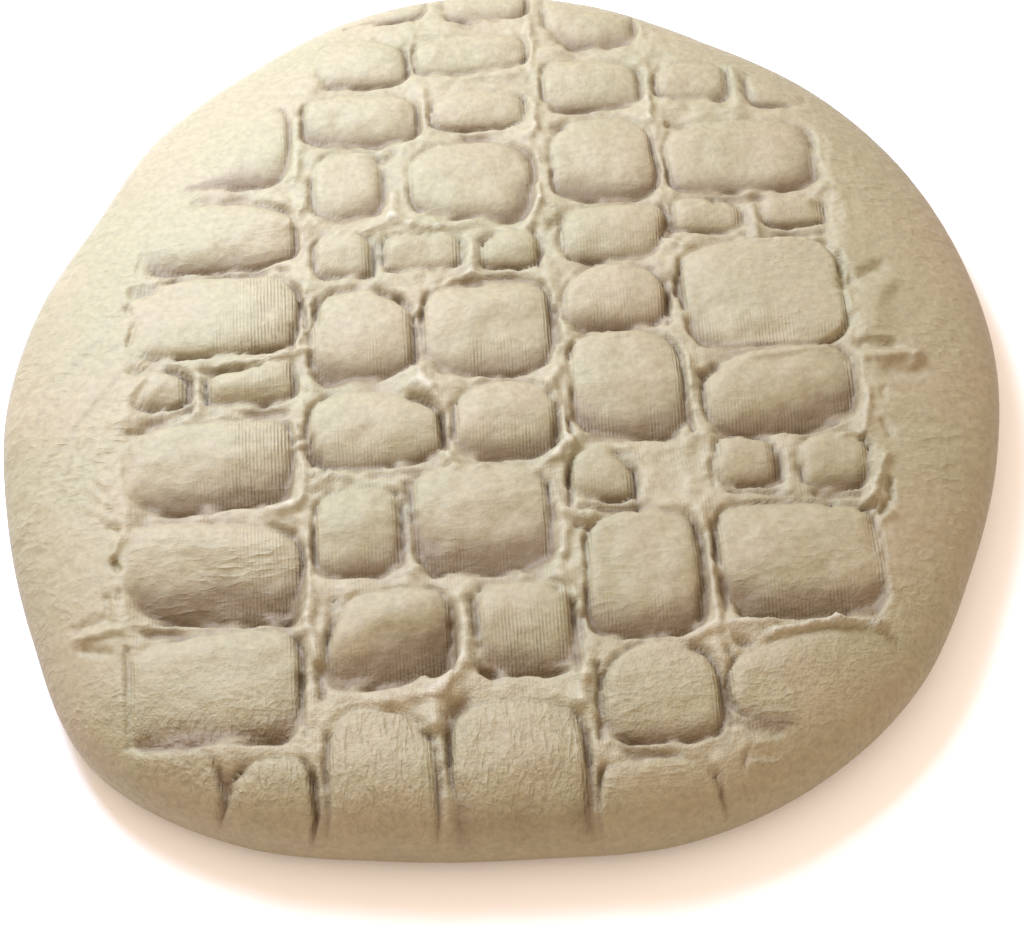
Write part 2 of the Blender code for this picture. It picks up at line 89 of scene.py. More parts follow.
# One row for each stone: its near-left, near-right, far-right and far-left corners and the bulge
# of its far and near sides, in millimetres, how square its corners are, and how strongly the
# roller's fine lines and the clay's leathery wrinkles show on it
STONES = {
    "left_1": ((-20.0, 14.0), (-11.9, 13.7), (-11.9, 20.7), (-18.5, 19.5), 0.3, 0.0, 4.0, 0.0, 0.4),
    "left_2": ((-20.9, 7.5), (-11.6, 7.8), (-11.6, 12.1), (-20.5, 12.8), 0.3, 0.0, 4.0, 0.0, 0.4),
    "left_3": ((-21.3, 1.1), (-11.7, 1.6), (-11.4, 6.4), (-21.2, 6.2), 0.7, 0.2, 5.5, 0.8, 0.3),
    "left_4a": ((-21.7, -2.4), (-18.0, -2.4), (-18.1, 0.0), (-21.7, -0.1), 0.3, 0.1, 3.0, 0.2, 0.4),
    "left_4b": ((-16.9, -2.4), (-11.9, -2.4), (-11.9, 0.6), (-16.9, -0.4), 0.1, 0.0, 5.0, 0.3, 0.3),
    "left_5": ((-21.5, -9.6), (-12.2, -9.3), (-12.2, -3.7), (-21.5, -4.0), 0.2, 0.1, 7.0, 0.8, 0.3),
    "left_6": ((-21.5, -16.6), (-11.8, -17.3), (-11.8, -11.6), (-21.6, -10.6), 0.6, 0.0, 7.0, 0.6, 0.9),
    "left_7": ((-20.9, -24.2), (-12.0, -24.4), (-12.1, -17.6), (-20.9, -18.3), 0.2, 0.1, 7.0, 0.1, 0.6),
    "left_8": ((-16.0, -35.0), (-11.5, -35.0), (-11.5, -25.9), (-15.9, -26.6), 0.8, 0.0, 6.0, 0.1, 0.3),
    "left_8b": ((-21.4, -35.0), (-16.3, -35.0), (-16.3, -25.0), (-21.4, -24.5), 0.1, 0.0, 5.0, 0.1, 0.3),
    "second_0a": ((-9.0, 27.0), (-2.9, 27.3), (-2.9, 31.0), (-9.0, 31.0), 0.0, 0.0, 5.0, 0.0, 0.2),
    "second_0": ((-10.0, 21.7), (-4.3, 21.6), (-4.4, 24.8), (-9.8, 25.7), 0.3, 0.0, 4.0, 0.1, 0.2),
    "second_1": ((-10.8, 16.9), (-3.8, 16.7), (-3.9, 20.6), (-10.7, 20.7), 0.1, 0.0, 4.0, 0.2, 0.2),
    "second_2": ((-10.5, 11.0), (-6.2, 11.0), (-6.3, 16.1), (-10.3, 15.7), 0.3, 0.1, 4.0, 0.1, 0.2),
    "second_3": ((-10.5, 6.6), (-7.1, 6.6), (-7.2, 9.6), (-10.4, 9.4), 0.2, 0.0, 4.0, 0.1, 0.2),
    "second_3b": ((-6.3, 6.6), (-1.8, 6.8), (-1.8, 9.2), (-6.3, 9.5), 0.2, 0.0, 4.0, 0.1, 0.2),
    "second_4": ((-10.9, -1.4), (-5.0, -0.7), (-4.9, 4.3), (-10.6, 4.9), 0.9, 0.1, 4.0, 0.6, 0.2),
    "second_5": ((-11.2, -7.4), (-3.6, -6.7), (-3.7, -3.2), (-11.1, -2.5), 0.8, 0.3, 4.0, 0.6, 0.3),
    "second_6": ((-11.0, -14.5), (-6.1, -14.4), (-6.2, -9.0), (-10.9, -9.3), 0.4, 0.0, 4.5, 0.4, 0.3),
    "second_7": ((-11.0, -21.6), (-3.8, -21.1), (-3.6, -15.8), (-9.7, -16.0), 0.4, 0.2, 4.0, 0.6, 0.2),
    "second_8": ((-10.6, -37.0), (-5.0, -37.0), (-5.1, -24.5), (-10.6, -23.4), 1.1, 0.0, 8.0, 0.1, 0.2),
    "middle_0a": ((-1.8, 26.8), (3.5, 26.8), (3.5, 31.0), (-1.8, 31.0), 0.0, 0.0, 5.0, 0.0, 0.2),
    "middle_0": ((-3.7, 22.2), (3.2, 22.7), (3.2, 25.1), (-3.7, 25.0), 0.4, 0.1, 4.0, 0.0, 0.2),
    "middle_1": ((-2.9, 17.8), (2.8, 17.7), (2.8, 20.3), (-2.9, 20.1), 0.4, 0.0, 4.0, 0.1, 0.2),
    "middle_2": ((-4.4, 10.9), (2.7, 10.1), (3.1, 16.0), (-4.6, 15.6), 0.7, 0.0, 4.5, 0.1, 0.2),
    "middle_3": ((-0.5, 6.7), (2.9, 6.7), (2.8, 9.2), (-0.4, 9.0), 0.2, 0.0, 4.0, 0.1, 0.2),
    "middle_4": ((-4.3, -0.9), (3.1, -1.0), (3.1, 5.7), (-4.2, 5.2), 0.6, 0.2, 4.5, 0.8, 0.2),
    "middle_5": ((-2.9, -6.9), (3.0, -7.0), (3.0, -2.5), (-2.8, -2.7), 0.8, 0.2, 3.2, 0.6, 0.2),
    "middle_6": ((-5.4, -14.8), (2.1, -14.8), (2.1, -7.9), (-5.5, -7.8), 0.4, 0.0, 5.0, 0.5, 0.4),
    "middle_7": ((-2.4, -21.2), (2.7, -21.3), (2.7, -15.7), (-2.3, -15.7), 0.2, 0.0, 7.0, 0.9, 0.1),
    "middle_8": ((-4.2, -37.0), (2.8, -37.0), (2.8, -23.8), (-4.2, -23.5), 0.9, 0.0, 8.0, 0.3, 0.2),
    "fourth_0": ((4.7, 24.0), (10.1, 23.9), (10.1, 30.0), (4.7, 30.0), 0.0, 0.0, 5.0, 0.0, 0.2),
    "fourth_1": ((4.1, 18.7), (10.0, 19.0), (10.0, 22.2), (4.1, 22.7), 0.3, 0.0, 5.0, 0.1, 0.2),
    "fourth_2": ((4.1, 11.5), (10.5, 11.6), (10.2, 17.5), (4.3, 17.3), 0.6, 0.0, 4.0, 0.2, 0.3),
    "fourth_3": ((4.1, 6.8), (9.9, 6.9), (10.7, 10.9), (4.5, 10.7), 0.1, 0.0, 4.5, 0.3, 0.2),
    "fourth_4": ((3.9, 1.7), (10.0, 1.8), (10.1, 5.3), (4.2, 5.2), 1.2, 0.1, 3.5, 0.5, 0.2),
    "fourth_5": ((4.1, -6.0), (10.5, -6.2), (10.3, 0.7), (4.1, 0.9), 0.6, 0.2, 5.0, 0.8, 0.3),
    "fourth_6": ((3.4, -10.2), (7.0, -10.4), (6.9, -8.0), (3.5, -7.5), 0.9, 0.0, 3.5, 0.2, 0.3),
    "fourth_7": ((3.6, -19.3), (10.1, -19.1), (10.2, -11.8), (4.1, -11.8), 0.6, 0.1, 5.0, 0.6, 0.4),
    "fourth_8": ((4.0, -25.7), (10.3, -25.8), (10.2, -20.7), (4.1, -21.1), 1.1, 0.1, 4.0, 0.2, 0.8),
    "fourth_9": ((3.3, -36.0), (9.8, -36.0), (9.6, -27.4), (3.4, -27.3), 0.7, 0.0, 9.0, 0.2, 0.9),
    "right_0": ((11.2, 19.2), (15.4, 19.0), (15.5, 21.9), (11.2, 22.0), 0.2, 0.0, 4.0, 0.0, 0.2),
    "right_0b": ((16.8, 18.4), (20.1, 18.3), (20.0, 20.5), (16.8, 21.5), 0.0, 0.0, 4.0, 0.0, 0.3),
    "right_1": ((11.2, 11.6), (20.3, 11.6), (20.2, 16.7), (11.2, 16.7), 0.6, 0.0, 4.5, 0.2, 0.2),
    "right_2a": ((11.1, 8.6), (15.1, 8.5), (15.0, 10.4), (11.1, 11.1), 0.2, 0.0, 4.0, 0.1, 0.2),
    "right_2b": ((16.5, 8.7), (20.2, 8.7), (20.1, 10.4), (16.4, 10.9), 0.1, 0.0, 4.0, 0.1, 0.3),
    "right_3": ((11.2, -0.3), (20.3, -0.4), (20.3, 6.9), (11.1, 7.4), 0.4, 0.0, 5.0, 0.5, 0.3),
    "right_4": ((11.6, -6.3), (20.2, -5.9), (20.4, -0.7), (11.5, -1.7), 0.6, 0.2, 4.0, 0.4, 0.3),
    "right_5a": ((11.7, -9.9), (15.1, -10.0), (15.1, -7.1), (11.8, -6.9), 0.4, 0.0, 4.0, 0.1, 0.3),
    "right_5b": ((16.4, -10.4), (19.9, -10.5), (20.5, -6.9), (16.4, -7.1), 0.3, 0.0, 3.5, 0.1, 0.3),
    "right_6": ((11.2, -18.5), (20.1, -18.6), (20.0, -11.7), (11.2, -11.2), 0.3, 0.0, 5.5, 0.6, 0.6),
    "right_7": ((10.8, -24.9), (20.5, -25.6), (20.5, -19.5), (10.9, -21.1), 0.6, 0.3, 4.0, 0.1, 0.9),
    "right_8": ((11.0, -34.0), (17.0, -34.0), (17.0, -26.0), (11.0, -25.8), 0.0, 0.0, 4.0, 0.1, 0.9),
}

# Ridges and pits that the clay took between the stones: each a stroke from one place to another
# in millimetres, its width, and how far it stands up or, below zero, sinks
STROKES = (
    # Far end
    (-11.4, 14.4, -11.2, 16.8, 0.35, 0.28), (-11.4, 17.2, -11.1, 19.0, 0.25, 0.20),
    (-8.6, 20.6, -6.4, 21.1, 0.16, 0.16), (-7.8, 15.7, -6.5, 15.9, 0.14, 0.12),
    (-5.9, 15.3, -5.4, 16.0, 0.30, -0.30), (-3.4, 20.8, -3.3, 18.2, 0.25, 0.22),
    (-3.4, 16.8, -2.6, 16.4, 0.30, 0.20), (-0.9, 16.9, 0.4, 16.8, 0.25, -0.30),
    (0.3, 21.6, 3.2, 21.4, 0.35, -0.22), (-3.4, 25.4, -2.4, 25.2, 0.30, -0.20),
    (3.3, 17.3, 3.4, 19.4, 0.30, 0.28), (3.4, 17.3, 2.8, 16.5, 0.25, 0.20),
    (4.5, 17.4, 5.2, 17.2, 0.25, -0.28), (10.4, 17.4, 10.5, 19.2, 0.32, 0.28),
    (10.5, 19.2, 10.6, 21.6, 0.25, 0.18), (11.6, 16.9, 12.6, 16.9, 0.25, -0.30),
    (10.4, 17.4, 11.2, 17.2, 0.25, 0.20), (16.0, 18.3, 15.9, 21.4, 0.30, 0.22),
    (15.0, 17.9, 16.2, 17.6, 0.25, 0.20), (3.4, 22.6, 3.6, 26.0, 0.28, 0.22),
    # Second and middle courses, beyond the middle
    (-5.6, 12.7, -5.7, 10.8, 0.28, 0.30), (-5.7, 10.6, -4.6, 10.1, 0.28, 0.26),
    (-5.7, 10.5, -7.0, 9.8, 0.30, 0.26), (-4.6, 10.1, -2.8, 9.7, 0.20, 0.24),
    (-2.8, 9.7, -0.9, 9.8, 0.30, 0.20), (-10.9, 10.3, -9.0, 9.7, 0.25, 0.20),
    (-9.0, 9.7, -7.0, 9.8, 0.22, 0.20), (-6.5, 9.4, -6.5, 8.2, 0.25, 0.20),
    (-6.4, 7.2, -7.0, 5.8, 0.22, 0.28), (-5.4, 9.3, -3.2, 9.15, 0.16, -0.30),
    (-6.2, 8.8, -5.8, 9.1, 0.20, -0.30), (-0.5, 8.6, 0.2, 8.9, 0.22, -0.35),
    (0.8, 9.4, 2.3, 9.4, 0.15, 0.22), (2.3, 9.4, 3.1, 11.4, 0.28, 0.28),
    (3.1, 11.5, 3.2, 12.8, 0.22, 0.25), (3.2, 11.4, 4.6, 10.9, 0.22, 0.22),
    (3.8, 9.4, 4.4, 10.1, 0.25, -0.35), (-1.1, 6.1, -1.1, 8.4, 0.26, 0.34),
    (-3.4, 5.1, -1.6, 6.1, 0.20, 0.25), (-1.6, 6.1, -0.6, 5.9, 0.20, 0.20),
    (-1.6, 5.5, -0.6, 5.5, 0.18, -0.20), (-6.7, 5.1, -5.6, 4.7, 0.32, -0.38),
    (-5.6, 4.7, -5.4, 4.2, 0.22, -0.32), (-4.9, 3.4, -4.4, 3.9, 0.24, 0.30),
    (-5.0, 5.3, -4.4, 5.0, 0.30, 0.15), (-9.6, 5.4, -8.2, 5.4, 0.25, -0.20),
    (-4.85, 2.4, -4.85, -0.3, 0.16, -0.38), (3.5, 3.2, 3.5, 0.9, 0.20, -0.40),
    (-6.9, 7.6, -6.95, 6.4, 0.16, -0.30), (2.8, 7.6, 2.85, 6.4, 0.14, -0.28),
    # Second and middle courses, this side of the middle
    (-4.6, -1.0, -4.4, -2.0, 0.50, 0.36), (-4.4, -2.0, -3.3, -3.4, 0.34, 0.28),
    (-5.3, -1.9, -4.6, -1.6, 0.30, 0.20), (-3.8, -2.0, -2.6, -2.3, 0.30, 0.20),
    (-5.2, -2.7, -4.2, -3.1, 0.30, -0.34), (3.3, -1.4, 2.6, -2.4, 0.35, 0.32),
    (2.9, -2.6, 3.3, -4.8, 0.22, 0.26), (3.3, -5.2, 3.5, -6.4, 0.26, 0.28),
    (3.5, -6.4, 2.9, -7.4, 0.40, 0.32), (2.9, -7.4, 1.5, -8.1, 0.25, 0.28),
    (2.4, -9.3, 2.5, -10.2, 0.28, 0.22), (3.0, -3.7, 2.8, -6.5, 0.14, -0.32),
    (-3.6, -4.0, -3.4, -6.5, 0.16, -0.38), (3.65, -4.9, 3.7, -6.1, 0.16, -0.36),
    (-3.4, -7.0, -3.0, -7.6, 0.35, 0.32), (-1.6, -7.9, -1.3, -7.8, 0.15, 0.25),
    (-5.75, -8.6, -5.7, -10.0, 0.20, -0.38), (-6.3, -10.2, -6.3, -13.9, 0.14, -0.26),
    (-5.25, -10.8, -5.2, -14.0, 0.14, -0.22), (-5.8, -10.4, -5.8, -13.6, 0.16, 0.18),
    (-5.9, -14.6, -5.5, -14.2, 0.22, 0.28), (-6.5, -15.3, -5.7, -14.8, 0.30, 0.20),
    (2.1, -9.2, 2.2, -10.2, 0.14, -0.24), (2.3, -10.6, 2.5, -12.0, 0.14, -0.26),
    (2.9, -12.4, 2.6, -13.8, 0.35, 0.32), (2.5, -14.0, 2.0, -15.3, 0.30, 0.26),
    (-11.0, -5.2, -10.9, -7.0, 0.15, -0.36), (-10.6, -6.2, -10.3, -7.8, 0.15, -0.34),
    (-11.0, -7.8, -8.8, -8.2, 0.18, 0.26), (-11.1, -8.9, -10.0, -8.9, 0.28, -0.26),
    (-7.6, -8.0, -5.2, -7.9, 0.30, -0.18), (-10.0, -16.2, -10.5, -18.6, 0.20, -0.38),
    (-10.95, -20.3, -10.85, -22.1, 0.20, -0.38), (-7.5, -22.7, -4.6, -22.2, 0.35, 0.32),
    (-4.6, -22.2, -3.2, -20.5, 0.42, 0.38), (-4.8, -22.4, -5.2, -24.3, 0.45, 0.32),
    (-3.2, -20.5, -2.9, -18.0, 0.30, 0.26), (-5.0, -24.3, -4.9, -26.5, 0.30, 0.20),
    (-4.1, -23.4, -3.4, -22.9, 0.38, -0.46), (-5.6, -24.6, -5.1, -25.0, 0.18, -0.28),
    (-4.3, -23.8, -4.35, -26.4, 0.16, -0.36), (-3.7, -17.8, -3.75, -21.0, 0.17, -0.38),
    (-2.6, -16.3, -2.45, -20.8, 0.15, -0.36), (-2.3, -21.1, -1.7, -21.5, 0.22, -0.38),
    (-3.2, -16.5, -3.1, -18.0, 0.26, 0.24), (2.95, -17.0, 2.85, -21.5, 0.16, -0.38),
    (3.3, -17.8, 3.15, -20.5, 0.14, -0.30), (3.0, -21.8, 2.8, -23.4, 0.40, 0.32),
    (3.0, -23.4, 3.6, -24.2, 0.30, 0.22), (3.3, -20.3, 3.3, -21.8, 0.28, 0.20),
    (2.4, -15.4, 2.8, -16.4, 0.34, 0.28), (2.0, -16.1, 2.2, -16.3, 0.18, -0.26),
    (3.0, -25.1, 2.95, -26.8, 0.20, -0.40), (2.68, -25.3, 2.66, -26.9, 0.14, 0.20),
    # Left course and the left margin
    (-17.3, 12.9, -16.9, 13.0, 0.42, -0.24), (-15.7, 12.7, -14.6, 12.8, 0.42, -0.26),
    (-13.8, 12.3, -11.8, 11.7, 0.30, -0.26), (-11.1, 11.9, -11.9, 10.5, 0.30, 0.22),
    (-20.9, 7.8, -20.6, 9.3, 0.16, -0.14), (-19.0, 6.9, -18.5, 7.1, 0.22, -0.28),
    (-16.4, 7.1, -14.8, 6.9, 0.25, -0.24), (-14.4, 7.1, -13.4, 7.2, 0.28, -0.28),
    (-12.5, 7.2, -12.1, 7.1, 0.18, -0.28), (-13.3, 6.75, -12.5, 7.0, 0.16, 0.22),
    (-21.2, 6.0, -20.0, 6.1, 0.30, -0.34), (-21.5, 5.0, -21.25, 4.3, 0.16, -0.24),
    (-21.2, 3.5, -21.3, 2.0, 0.16, -0.24), (-11.8, 6.0, -11.4, 5.3, 0.16, -0.24),
    (-11.3, 4.8, -11.1, 2.8, 0.16, -0.38), (-10.8, 4.5, -10.8, 3.0, 0.18, 0.28),
    (-10.4, 4.9, -10.45, 2.9, 0.18, -0.36), (-11.1, 2.6, -11.8, 1.7, 0.25, 0.24),
    (-11.9, 2.9, -11.9, 1.1, 0.15, -0.32), (-16.2, 0.35, -13.2, 0.55, 0.18, 0.26),
    (-13.2, 0.55, -11.0, 1.3, 0.20, 0.30), (-17.1, 0.0, -15.0, -0.15, 0.30, -0.42),
    (-15.0, -0.15, -13.8, 0.15, 0.20, -0.28), (-19.0, 0.1, -17.9, -0.45, 0.26, -0.42),
    (-21.1, 0.05, -20.4, -0.1, 0.22, -0.24), (-21.0, 0.75, -20.3, 0.3, 0.14, 0.16),
    (-17.35, -0.3, -17.3, -3.2, 0.26, 0.30), (-17.75, -0.6, -17.75, -2.9, 0.15, -0.34),
    (-16.95, -0.9, -16.95, -2.2, 0.14, -0.34), (-20.5, -0.6, -21.3, -1.8, 0.18, 0.08),
    (-20.0, -0.4, -20.9, -2.2, 0.16, -0.08), (-19.2, -0.5, -20.2, -2.2, 0.18, 0.08),
    (-20.2, -3.5, -19.3, -3.3, 0.30, -0.34), (-18.6, -3.2, -18.1, -2.6, 0.30, -0.40),
    (-14.6, -3.2, -12.6, -3.2, 0.32, -0.34), (-16.5, -2.8, -16.5, -3.1, 0.15, -0.24),
    (-21.2, -4.3, -20.2, -4.0, 0.22, -0.28), (-22.2, -3.5, -20.8, -3.3, 0.35, 0.14),
    (-11.9, -4.2, -11.8, -4.9, 0.25, 0.24), (-12.0, -5.7, -11.3, -5.4, 0.25, 0.24),
    (-11.6, -6.6, -11.4, -8.2, 0.25, 0.24), (-16.75, -9.8, -16.7, -10.5, 0.15, -0.24),
    (-13.4, -10.1, -12.2, -9.9, 0.35, 0.30), (-12.2, -9.9, -11.5, -9.3, 0.30, 0.30),
    (-11.9, -10.6, -11.1, -10.9, 0.35, 0.18), (-13.3, -11.0, -12.1, -11.5, 0.25, -0.36),
    (-22.3, -10.7, -21.9, -10.9, 0.30, -0.26), (-23.5, -7.8, -22.2, -9.3, 0.18, 0.09),
    (-22.9, -7.4, -22.0, -8.7, 0.18, 0.07), (-24.2, -8.6, -22.4, -10.0, 0.18, 0.07),
    (-23.85, -4.2, -24.7, -6.9, 0.15, 0.15), (-24.2, -4.8, -24.8, -6.6, 0.20, -0.12),
    (-21.9, -13.0, -21.7, -13.5, 0.22, -0.42), (-21.7, -15.0, -21.7, -15.4, 0.18, -0.24),
    (-22.2, -12.9, -21.6, -11.6, 0.25, 0.16), (-22.3, -15.2, -22.2, -16.6, 0.22, -0.20),
    (-24.0, -16.8, -22.6, -16.6, 0.35, -0.14), (-24.0, -17.5, -21.6, -17.4, 0.22, 0.24),
    (-23.5, -18.1, -22.3, -18.6, 0.24, -0.22), (-20.2, -17.5, -18.4, -17.7, 0.35, -0.36),
    (-21.15, -18.6, -21.15, -24.0, 0.16, -0.26), (-20.75, -24.0, -20.3, -24.4, 0.18, -0.24),
    (-21.2, -24.6, -19.2, -25.3, 0.45, 0.10), (-18.8, -25.2, -16.4, -25.1, 0.45, 0.10),
    (-16.15, -26.4, -16.05, -29.3, 0.13, -0.42), (-15.8, -26.3, -15.2, -26.2, 0.30, -0.22),
    (-11.5, -26.5, -11.4, -29.5, 0.17, -0.32), (-12.0, -20.5, -11.75, -24.4, 0.15, -0.32),
    (-11.8, -18.8, -11.8, -21.0, 0.14, -0.30), (-11.3, -16.0, -11.6, -17.2, 0.42, 0.32),
    (-12.3, -18.0, -11.5, -17.9, 0.30, 0.30), (-11.3, -18.2, -11.1, -19.8, 0.35, 0.28),
    (-11.35, -11.9, -11.35, -15.6, 0.22, 0.22),
    # Fourth course
    (10.15, 4.0, 10.0, 1.7, 0.16, -0.38), (10.8, 5.0, 10.75, 4.0, 0.16, -0.38),
    (7.2, 5.7, 8.2, 5.9, 0.16, 0.16), (4.2, 0.7, 5.2, 0.9, 0.16, 0.16),
    (6.6, 0.8, 7.6, 0.9, 0.16, 0.14), (10.6, -4.8, 10.6, -6.1, 0.16, -0.38),
    (10.8, -0.8, 10.8, -3.0, 0.30, 0.24), (11.0, -6.4, 12.0, -6.9, 0.35, 0.16),
    (8.3, -6.5, 9.6, -6.4, 0.35, -0.24), (3.35, -8.0, 3.3, -10.8, 0.17, -0.38),
    (6.95, -8.7, 7.05, -11.3, 0.16, -0.38), (6.0, -7.5, 6.7, -8.4, 0.18, -0.36),
    (3.8, -10.95, 6.8, -11.1, 0.16, -0.30), (5.0, -6.7, 6.8, -7.1, 0.30, 0.24),
    (2.9, -11.2, 4.4, -11.6, 0.35, 0.26), (3.5, -12.1, 4.1, -12.2, 0.22, -0.36),
    (10.05, -12.6, 10.05, -16.0, 0.16, -0.34), (10.0, -16.4, 9.8, -19.0, 0.16, -0.36),
    (10.95, -12.4, 10.95, -15.0, 0.15, -0.34), (11.15, -16.0, 11.2, -18.2, 0.15, -0.28),
    (9.0, -19.7, 10.3, -19.3, 0.40, 0.28), (10.3, -19.3, 12.5, -19.3, 0.35, 0.26),
    (10.6, -15.2, 10.6, -18.8, 0.26, 0.28), (10.4, -11.6, 10.5, -12.6, 0.30, 0.22),
    (9.0, -20.4, 9.8, -20.8, 0.22, -0.34), (11.6, -20.2, 12.2, -20.4, 0.28, -0.42),
    (11.0, -20.7, 11.2, -21.3, 0.16, -0.28), (10.4, -20.2, 10.7, -22.0, 0.30, 0.12),
    (4.1, -21.8, 4.9, -20.7, 0.25, -0.24), (3.85, -21.0, 3.7, -25.6, 0.16, -0.36),
    (5.0, -26.5, 7.5, -26.7, 0.24, -0.28), (5.4, -26.9, 5.7, -27.1, 0.22, -0.26),
    # Right course and the right margin
    (13.5, 10.9, 13.8, 10.4, 0.25, -0.36), (14.5, 10.9, 16.5, 11.0, 0.30, -0.26),
    (10.8, 9.4, 10.7, 8.2, 0.22, -0.38), (10.3, 8.1, 11.8, 7.2, 0.20, 0.24),
    (15.9, 10.2, 15.8, 7.7, 0.24, 0.30), (15.4, 9.4, 15.4, 8.0, 0.16, -0.30),
    (15.0, 7.45, 17.0, 7.1, 0.20, 0.22), (17.0, 7.1, 20.0, 7.3, 0.25, 0.22),
    (17.2, 7.75, 19.8, 7.75, 0.28, -0.34), (20.5, 11.5, 19.5, 10.3, 0.22, 0.28),
    (20.55, 11.6, 20.6, 11.5, 0.22, -0.30), (19.7, 9.9, 19.8, 9.6, 0.22, -0.28),
    (20.6, 5.8, 20.4, 4.5, 0.20, -0.32), (20.4, 3.8, 20.3, 3.2, 0.16, -0.24),
    (20.6, 3.0, 20.6, 1.6, 0.28, 0.20), (21.0, 3.9, 22.9, 5.0, 0.42, -0.30),
    (21.7, 0.6, 22.0, 2.8, 0.85, 0.30), (22.4, 2.6, 23.3, 3.8, 0.50, 0.20),
    (21.0, -0.7, 22.8, -0.9, 0.36, -0.36), (21.0, -1.8, 24.1, -1.6, 0.34, 0.38),
    (24.1, -1.6, 23.7, -2.3, 0.20, 0.20), (22.4, -2.7, 24.0, -2.7, 0.42, -0.26),
    (21.4, -6.3, 21.7, -7.3, 0.22, -0.22), (21.7, -4.0, 21.7, -4.6, 0.16, -0.16),
    (22.5, -5.3, 25.5, -5.9, 0.28, 0.06), (22.2, -6.1, 25.2, -6.5, 0.28, -0.05),
    (22.6, -7.0, 25.0, -7.2, 0.28, 0.05), (11.6, -2.2, 12.4, -1.7, 0.30, -0.40),
    (14.5, -1.3, 17.5, -0.95, 0.20, 0.18), (17.6, -0.85, 18.9, -0.8, 0.15, 0.18),
    (12.0, -6.2, 12.7, -6.6, 0.25, -0.24), (13.6, -6.7, 14.7, -6.8, 0.26, -0.30),
    (12.1, -10.3, 14.6, -10.55, 0.18, -0.30), (15.2, -8.0, 15.2, -9.9, 0.15, -0.36),
    (11.4, -8.3, 11.4, -9.9, 0.15, -0.26), (15.7, -8.2, 15.6, -10.6, 0.22, 0.24),
    (18.8, -7.15, 20.1, -7.0, 0.15, 0.20), (20.2, -6.8, 20.8, -4.2, 0.32, 0.30),
    (20.0, -7.3, 20.4, -7.9, 0.17, -0.32), (17.0, -10.8, 19.4, -11.0, 0.25, -0.30),
    (17.65, -11.0, 17.6, -11.6, 0.16, -0.34), (21.2, -8.8, 20.0, -11.4, 0.30, 0.36),
    (21.25, -10.3, 21.1, -11.4, 0.16, -0.36), (20.8, -11.8, 20.5, -12.3, 0.26, -0.44),
    (20.2, -11.9, 19.5, -12.0, 0.18, -0.34), (20.3, -12.9, 21.0, -12.5, 0.26, 0.20),
    (19.6, -12.9, 19.65, -15.0, 0.15, -0.26), (20.1, -15.6, 20.2, -17.2, 0.20, 0.14),
    (11.4, -19.0, 13.6, -19.1, 0.26, 0.26), (13.6, -19.8, 17.0, -19.2, 0.26, 0.52),
    (17.0, -19.2, 19.4, -19.4, 0.24, 0.52), (13.7, -20.1, 14.6, -19.9, 0.20, 0.24),
    (10.5, -22.8, 10.6, -25.2, 0.16, -0.28), (10.8, -25.0, 12.9, -25.7, 0.24, -0.28),
    (11.6, -27.3, 13.0, -27.1, 0.16, 0.22), (11.4, -26.2, 12.5, -26.3, 0.30, 0.14),
)

# Places where the pattern is worn almost level: the middle and the half widths of each in
# millimetres, and the share of the relief that is gone
WORN = (
    (16.5, -26.0, 5.2, 3.4, 0.75), (-18.0, -24.7, 3.6, 1.0, 0.55), (20.6, -15.0, 1.2, 2.4, 0.4),
    (16.0, -0.6, 4.0, 0.8, 0.60), (-17.0, 18.6, 5.6, 5.0, 0.85),
)

# Facets on the stones: beyond the line from one place to another, to its right, the crown falls
# away by this much for each millimetre, or rises where the number is below zero
FACETS = (
    ("left_3", -20.5, 5.4, -12.0, 5.6, -0.16), ("left_3", -16.4, 1.0, -13.4, 4.6, 0.10),
    ("left_4b", -16.6, -1.6, -12.0, -1.4, 0.22), ("left_5", -17.0, -6.8, -12.4, -5.4, 0.14),
    ("left_6", -21.0, -12.2, -12.0, -12.8, 0.20), ("left_7", -20.8, -23.4, -12.2, -23.6, 0.24),
    ("second_1", -10.6, 19.6, -4.0, 19.4, 0.10), ("second_2", -9.0, 11.0, -7.6, 15.4, 0.10),
    ("second_4", -10.8, 1.6, -5.2, 0.6, 0.16), ("second_5", -8.6, -8.4, -4.6, -6.2, 0.20),
    ("second_6", -9.8, -13.6, -7.2, -10.4, 0.14), ("second_7", -9.0, -18.6, -4.2, -16.0, 0.34),
    ("middle_2", 0.2, 10.0, 0.4, 16.0, 0.14), ("middle_4", 2.9, 4.2, -4.0, 4.0, 0.22),
    ("middle_5", -2.8, -5.2, 3.0, -5.0, 0.16), ("middle_6", -5.0, -10.4, 2.0, -9.8, 0.12),
    ("middle_7", -2.2, -18.2, 2.6, -17.4, 0.12), ("middle_8", -4.2, -26.0, 2.8, -26.2, 0.14),
    ("fourth_2", 4.2, 13.6, 10.2, 13.8, 0.12), ("fourth_4", 4.6, 2.8, 9.8, 3.6, 0.20),
    ("fourth_5", 4.2, -3.0, 10.2, -2.4, 0.12), ("fourth_7", 4.4, -17.0, 9.8, -15.4, 0.14),
    ("right_1", 17.4, 11.8, 17.8, 16.8, 0.12), ("right_3", 12.0, -0.6, 12.0, 7.0, -0.12),
    ("right_3", 20.0, 6.2, 11.6, 6.6, 0.20), ("right_4", 12.4, -5.2, 18.4, -1.8, 0.18),
    ("right_5a", 12.2, -9.6, 14.2, -7.2, 0.16), ("right_6", 19.6, -12.2, 11.4, -12.0, 0.26),
    ("right_6", 11.4, -15.2, 19.6, -15.8, 0.14), ("right_5b", 17.0, -9.8, 19.8, -8.6, 0.16),
)


